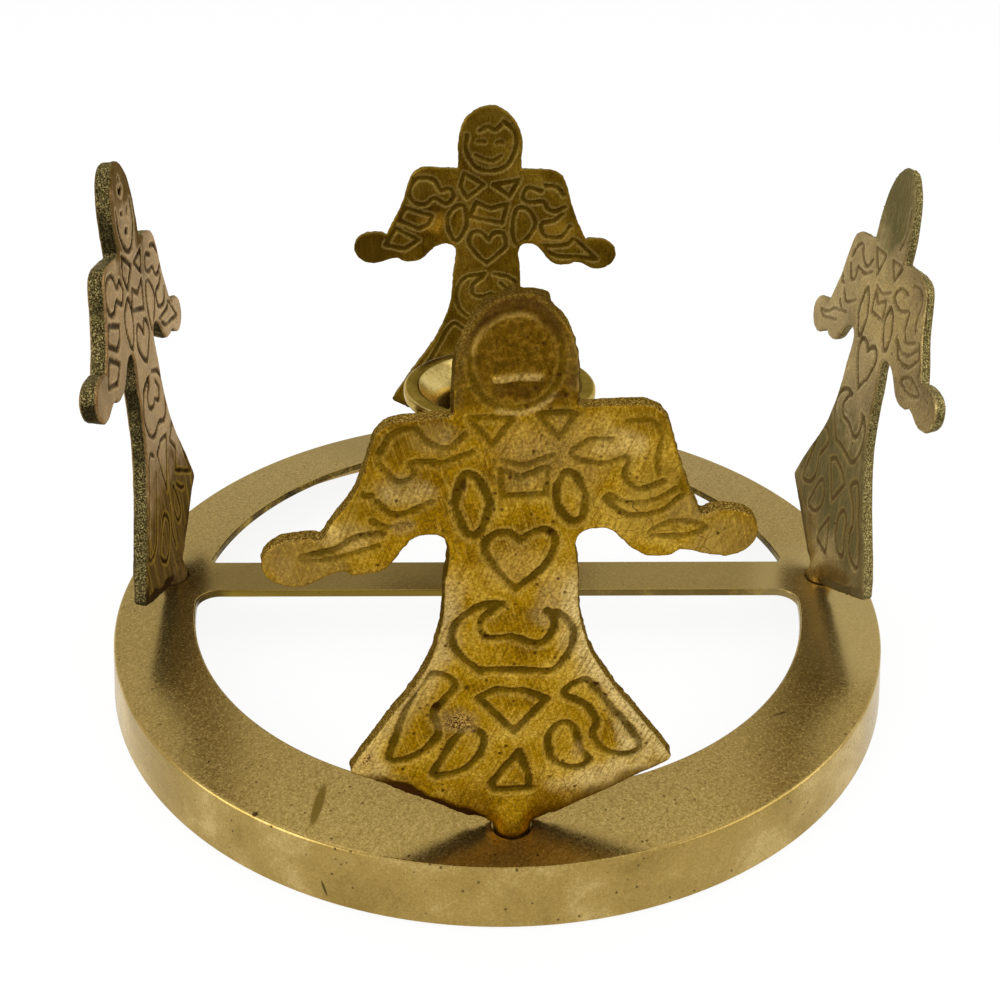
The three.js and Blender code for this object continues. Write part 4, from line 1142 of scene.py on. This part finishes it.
def makeAngel(name, setting, look, seed):
    p = angelPattern
    relief = angelRelief
    outline = angelOutline(setting, seed)
    piece, co, normal = castSkin(name, setting, look, outline)
    mesh = piece.data
    count = len(co)
    flat = co[:, [0, 2]]
    across, up = flat[:, 0], flat[:, 1]
    facing = normal[:, 1]
    outer = facing < -0.5
    inner = facing > 0.5
    toEdge = distanceTo(flat, np.vstack([outline, outline[:1]]), 8.0)
    offFoot = 1 - zone("footTop", up) * zone("footSide", np.abs(across))
    plain = smoothStep(0.5, 0.9, np.abs(facing)) * offFoot
    inside = plain * zone("lineInset", toEdge)
    grain, ripple, wobble = (castField(co, label, seed) for label in ("grain", "ripple", "wobble"))
    bow = noiseAt(np.column_stack([flat, np.zeros(count)]), p["bowWave"], seed + 7)
    head = zone("headLow", up) * zone("headSide", np.abs(across))
    sand = head * outer * plain * (1.0 if look["headRough"] else 0.0)
    bevel = sand * zone("bevelInset", toEdge) * zone("bevelSide", across)
    rim = np.maximum(smoothStep(0.75, 0.4, np.abs(facing)) * offFoot, 0.6 * bevel)
    edgeShadeAndCrust = rim * smoothStep(0.5, 0.0, normal[:, 2] + 0.35 * wobble)  # painted shade on edges that look sideways or down, as light falls from above
    cut, soft, lip = np.zeros((3, count))
    for face, lines, turn in ((outer, look["outer"], 1), (inner, look["inner"], 2)):
        cut[face], soft[face], lip[face] = engrave(flat[face], lines, look, seed + turn)
    cut, soft, lip = cut * inside, soft * inside, lip * inside
    pits = softSpots(flat, look["pitSpots"], wobble) * outer * inside
    holes = softSpots(flat, look["holeSpots"], 0.5 * grain) * outer
    paintedLineShade = look["lineShade"] * soft * zone("wingLow", up)  # painted shade beside the lines of the wings
    tarnishAndShade = np.maximum(softSpots(flat, look["tarnishAndShadeSpots"], wobble), paintedLineShade)
    wearAndHighlight = softSpots(flat, look["wornSpots"], wobble) * (1 - paintedLineShade)
    skirt = zone("skirtTop", up) * zone("skirtLow", up) * zone("skirtInset", toEdge + 1.2 * wobble) * outer
    wearAndHighlight = np.maximum(wearAndHighlight, skirt * np.where(across < 0, *look["sideWorn"]))
    # painted shade along the hem, where it stands over the ring: a dark line and a soft band
    hem = zone("hemTop", up) * smoothStep(0.1, 0.4, np.abs(facing)) * offFoot
    share = zone("hemMiddle", across)
    shadowLine, shade = (
        (pair[0] * (1 - share) + pair[1] * share) * hem for pair in (look["hemShadowLine"], look["hemShade"]))
    holes = np.maximum(holes, shadowLine * zone("shadowLineInset", toEdge + 0.7 * wobble))
    tarnishAndShade = np.maximum(tarnishAndShade, shade * zone("shadeInset", toEdge + 0.8 * wobble))
    masks = dict(
        groove=cut, lip=lip, rim=rim, edgeShadeAndCrust=edgeShadeAndCrust, pits=pits, holes=holes, tarnishAndShade=tarnishAndShade, wearAndHighlight=wearAndHighlight, sand=sand)
    # relief of the faces and of the rough cast edge
    shift = p["castRough"] * grain * rim + look["ripple"] * ripple * plain + look["headRough"] * grain * sand
    shift -= look["depth"] * cut + look["hollow"] * soft
    shift += relief["bevel"] * bevel + relief["lip"] * lip + relief["pits"] * pits + relief["holes"] * holes
    if look["mouth"]:
        shift += markFace(masks, flat, outer, grain)
    if look["burr"]:
        crown = zone("crownLow", up) * smoothStep(0.75, 0.3, np.abs(facing))
        shift += look["burr"] * crown * np.clip(noiseAt(co, p["burrWave"], seed + 13) + 0.2, 0, 1)
        band = zone("bandStart", toEdge) * zone("bandEnd", toEdge + 0.5 * grain) * zone("bandLow", up)
        masks["holes"] = np.maximum(masks["holes"], p["crownShade"] * band * outer)
        masks["edgeShadeAndCrust"] = np.maximum(edgeShadeAndCrust, crown)
    masks["ringReflection"] = masks["tarnishAndShade"] * zone("reflectionTop", up) * inner  # painted reflection of the ring, in streaks down the inside of the skirt
    co = co + normal * shift[:, None]
    co[:, 1] += look["thinTop"] * zone("thinning", up) * (facing < 0)
    co[:, 1] += p["plateBow"] * bow * zone("bowing", up)
    place = np.array(angelPlace(setting))
    world = (co @ place[:3, :3].T + place[:3, 3]) * mm
    mesh.vertices.foreach_set("co", world.ravel())
    for label, values in masks.items():
        layer = mesh.attributes.new(label, "FLOAT", "POINT")
        layer.data.foreach_set("value", np.clip(values, 0, 1).astype(np.float32))
    mesh.polygons.foreach_set("use_smooth", np.ones(len(mesh.polygons), bool))
    mesh.update()
    standFor(piece, "angel_" + name)
    print("angel", name, count, "points")


# Stem and cup, turned

stemSizes = dict(
    base=10.9, height=15.2, footRadius=5.2, footEdge=1.5, neckRadius=4.0, knopRadius=5.8, knopHeight=8.2,
    knopDepth=3.8, seatRadius=6.0, seatEdge=1.3, bore=2.8, edgeRound=0.25, segments=96,
    sharpAngle=40)
cupSizes = dict(
    base=26.4, height=27.0, neckRadius=6.0, neckEdge=1.1, bowlRadius=13.4, bowlHeight=8.6, throatRadius=13.8,
    throatHeight=19.5, throatHeading=70, rimRadius=17.75, lipWidth=2.7, lipThick=2.4, lipRound=0.8,
    socketRadius=11.2, socketFloorRadius=10.8, funnelDepth=5.7, socketFloor=5.6, creaseRound=1.1,
    segments=128, sharpAngle=45)


def roundCorners(profile, radius, steps=3, sharpAngle=35, mostShare=2.2):
    # softens the sharp corners of a turned profile
    out = [profile[0]]
    for before, here, after in zip(profile, profile[1:], profile[2:]):
        a, b, c = (Vector(q) for q in (before, here, after))
        into, away = (b - a), (c - b)
        if into.length < 1e-6 or away.length < 1e-6 or into.angle(away) < math.radians(sharpAngle):
            out.append(here)
            continue
        cut = min(radius, into.length / mostShare, away.length / mostShare)
        start, end = b - into.normalized() * cut, b + away.normalized() * cut
        for k in range(steps + 1):
            t = k / steps
            out.append(tuple((1 - t) ** 2 * start + 2 * t * (1 - t) * b + t * t * end))
    return out + [profile[-1]]


def makeStem():
    s = stemSizes
    knopHalf = s["knopDepth"] / 2
    profile = [(s["bore"], 0), (s["footRadius"], 0), (s["footRadius"], s["footEdge"])]
    sweepTo(profile, 180, s["neckRadius"], s["knopHeight"] - knopHalf, 90, 0.5)
    arcTo(profile, s["neckRadius"], s["knopHeight"], s["knopRadius"] - s["neckRadius"], knopHalf, -90, 90, 14)
    sweepTo(profile, 90, s["seatRadius"], s["height"] - s["seatEdge"], 0, 0.5)
    profile += [(s["seatRadius"], s["height"]), (s["bore"], s["height"])]
    profile = roundCorners(profile, s["edgeRound"])
    bm = bmesh.new()
    revolveInto(bm, [(r, z + s["base"]) for r, z in profile], s["segments"], closed=True)
    return meshFrom("stem", bm, s["sharpAngle"])


def makeCup():
    s = cupSizes
    under = s["height"] - s["lipThick"]
    edge = s["rimRadius"] - s["lipRound"]
    profile = [(0, 0), (s["neckRadius"], 0), (s["neckRadius"], s["neckEdge"])]
    sweepTo(profile, 0, s["bowlRadius"], s["bowlHeight"], 90, 0.5, steps=14)
    sweepTo(profile, 90, s["throatRadius"], s["throatHeight"], s["throatHeading"])
    sweepTo(profile, s["throatHeading"], edge, under, 0)
    arcTo(profile, edge, under + s["lipRound"], s["lipRound"], s["lipRound"], -90, 0, 6)
    arcTo(profile, edge, s["height"] - s["lipRound"], s["lipRound"], s["lipRound"], 0, 90, 6)
    profile.append((s["rimRadius"] - s["lipWidth"], s["height"]))
    sweepTo(profile, 225, s["socketRadius"], s["height"] - s["funnelDepth"], -90, steps=12)
    profile += [(s["socketFloorRadius"], s["socketFloor"]), (0, s["socketFloor"])]
    profile = roundCorners(profile, s["creaseRound"])
    bm = bmesh.new()
    revolveInto(bm, [(r, z + s["base"]) for r, z in profile], s["segments"])
    return meshFrom("cup", bm, s["sharpAngle"])


# Screws and washer under the ring

washerSizes = dict(radius=5.0, hole=2.8, edgeRound=0.18, segments=64)
screwSizes = dict(
    stem=dict(radius=2.4, tipChamfer=0.9, headRadius=4.3, headFlat=2.6, headHeight=2.6, slotWidth=1.1,
              slotDepth=1.2, edgeRound=0.15, segments=48),
    angel=dict(radius=1.35, tipChamfer=0.5, headRadius=2.7, headFlat=1.6, headHeight=1.8, slotWidth=0.8,
               slotDepth=0.8, edgeRound=0.15, segments=48))


def makeScrew(name, node, size, material):
    low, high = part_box(node)
    bottom, tip = low.z / mm, high.z / mm
    middle = ((low + high) / 2) / mm
    headTop = bottom + size["headHeight"]
    profile = [(0, bottom), (size["headFlat"], bottom)]
    sweepTo(profile, 0, size["headRadius"], headTop - size["edgeRound"], 90)
    shank, chamfer = size["radius"], size["tipChamfer"]
    profile += [(size["headRadius"], headTop), (shank, headTop), (shank, tip - chamfer),
                (shank - chamfer, tip), (0, tip)]
    bm = bmesh.new()
    revolveInto(bm, roundCorners(profile, size["edgeRound"]), size["segments"])
    bmesh.ops.translate(bm, vec=(middle.x, middle.y, 0), verts=bm.verts)
    piece = addPiece(name, meshFrom(name, bm), material)
    cutter = bmesh.new()
    bmesh.ops.create_cube(cutter, size=1)
    slotBox = (3 * size["headRadius"], size["slotWidth"], 2 * size["slotDepth"])
    bmesh.ops.scale(cutter, vec=slotBox, verts=cutter.verts)
    bmesh.ops.translate(cutter, vec=(middle.x, middle.y, bottom), verts=cutter.verts)
    tool = addPiece(name + "_slot", meshFrom(name + "_slot", cutter), material)
    slot = piece.modifiers.new("slot", "BOOLEAN")
    slot.operation = "DIFFERENCE"
    slot.object = tool
    flattenModifiers(piece)
    bpy.data.objects.remove(tool)
    standFor(piece, node)


def makeWasher(material):
    s = washerSizes
    low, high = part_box("stem_washer")
    bottom, top = low.z / mm, high.z / mm
    profile = roundCorners([(s["hole"], bottom), (s["radius"], bottom), (s["radius"], top), (s["hole"], top),
                            (s["hole"], bottom)], s["edgeRound"])
    bm = bmesh.new()
    revolveInto(bm, profile[:-1], s["segments"], closed=True)
    standFor(addPiece("washer", meshFrom("washer", bm), material), "stem_washer")


# Camera at the photo's view

cameraView = dict(
    position=(-3.364, -174.765, 126.822), pitch=29.379, yaw=1.185, roll=0.516, lens=36.628,
    sensor=36, nearest=0.01)


def setCamera():
    v = cameraView
    pitch, yaw, roll = (math.radians(v[k]) for k in ("pitch", "yaw", "roll"))
    ahead = Vector((math.sin(yaw) * math.cos(pitch), math.cos(yaw) * math.cos(pitch), -math.sin(pitch)))
    level = ahead.cross(Vector((0, 0, 1))).normalized()
    upright = level.cross(ahead)
    right = math.cos(roll) * level + math.sin(roll) * upright
    up = math.cos(roll) * upright - math.sin(roll) * level
    data = bpy.data.cameras.new("camera")
    data.sensor_width = v["sensor"]
    data.lens = v["lens"]
    data.clip_start = v["nearest"]
    camera = bpy.data.objects.new("camera", data)
    scene.collection.objects.link(camera)
    turn = Matrix((right, up, -ahead)).transposed().to_4x4()
    camera.matrix_world = Matrix.Translation(Vector(v["position"]) * mm) @ turn
    scene.camera = camera


# Floor, world and lamps, in metres

studio = dict(
    floorSize=6.0, floorDrop=0.0001, floorTone=(0.95, 0.95, 0.95, 1.0), floorGlow=0.9, fill=0.95,
    lampAim=(0, 0, 0.03))
lamps = [
    dict(name="leftSoftbox", place=(-0.75, -0.35, 0.55), size=0.6, power=3.0),
    dict(name="rightSoftbox", place=(0.75, -0.15, 0.60), size=0.6, power=1.8),
    dict(name="topSoftbox", place=(0.0, 0.25, 1.0), size=0.9, power=2.0),
]


def seenRays(tree):
    # 1 for what the camera, a reflection or a clear surface looks at
    path = addNode(tree, "ShaderNodeLightPath").outputs
    return most(tree, most(tree, path["Is Camera Ray"], path["Is Glossy Ray"]), path["Is Transmission Ray"])


def splitShaders(owner, outKind, share, unseen, seen):
    # shows seen, as far as share goes, where the object is looked at, and unseen where it only gives light
    owner.use_nodes = True
    tree = owner.node_tree
    tree.nodes.clear()
    first, second = (addNode(tree, kind, values).outputs[0] for kind, values in (unseen, seen))
    mix = addNode(tree, "ShaderNodeMixShader", {0: times(tree, seenRays(tree), share), 1: first, 2: second})
    addNode(tree, outKind, {"Surface": mix.outputs[0]})


def setStudio():
    scene.world = bpy.data.worlds.new("studio")
    white = {"Color": (1, 1, 1, 1), "Strength": 1.0}
    splitShaders(scene.world, "ShaderNodeOutputWorld", 1.0,
                 ("ShaderNodeBackground", dict(white, Strength=studio["fill"])),
                 ("ShaderNodeBackground", white))
    paper = bpy.data.materials.new("paleFloor")
    splitShaders(paper, "ShaderNodeOutputMaterial", studio["floorGlow"],
                 ("ShaderNodeBsdfDiffuse", {"Color": studio["floorTone"]}),
                 ("ShaderNodeEmission", white))
    bm = bmesh.new()
    bmesh.ops.create_grid(bm, x_segments=8, y_segments=8, size=studio["floorSize"] / 2)
    mesh = bpy.data.meshes.new("floor")
    bm.to_mesh(mesh)
    bm.free()
    floor = addPiece("floor", mesh, paper)
    floor.location.z = -studio["floorDrop"]

    for lamp in lamps:
        data = bpy.data.lights.new(lamp["name"], "AREA")
        data.size = lamp["size"]
        data.energy = lamp["power"]
        light = bpy.data.objects.new(lamp["name"], data)
        light.location = lamp["place"]
        aim = Vector(studio["lampAim"]) - Vector(lamp["place"])
        light.rotation_euler = aim.to_track_quat("-Z", "Y").to_euler()
        scene.collection.objects.link(light)


setCamera()
setStudio()
print("camera and studio set")

ring = addPiece("ring", makeRing([s["station"] for s in angelSettings.values()]), makeRingBrass())
ring.modifiers.new("flatFaces", "WEIGHTED_NORMAL").keep_sharp = True
standFor(ring, "ring_base")
turnedBrass = makeTurnedBrass()
standFor(addPiece("stem_turned", makeStem(), turnedBrass), "stem")
standFor(addPiece("cup_turned", makeCup(), turnedBrass), "candle_cup")
print("ring, stem and cup made")

screwBrass = makeScrewBrass()
makeWasher(screwBrass)
makeScrew("screw_stem", "stem_screw", screwSizes["stem"], screwBrass)
for name in angelSettings:
    makeScrew("screw_" + name, "angel_screw_" + name, screwSizes["angel"], screwBrass)
print("washer and screws made")

firstSeed, seedStep = 20, 30
for k, (name, setting) in enumerate(angelSettings.items()):
    makeAngel(name, setting, angelLooks[name], firstSeed + seedStep * k)
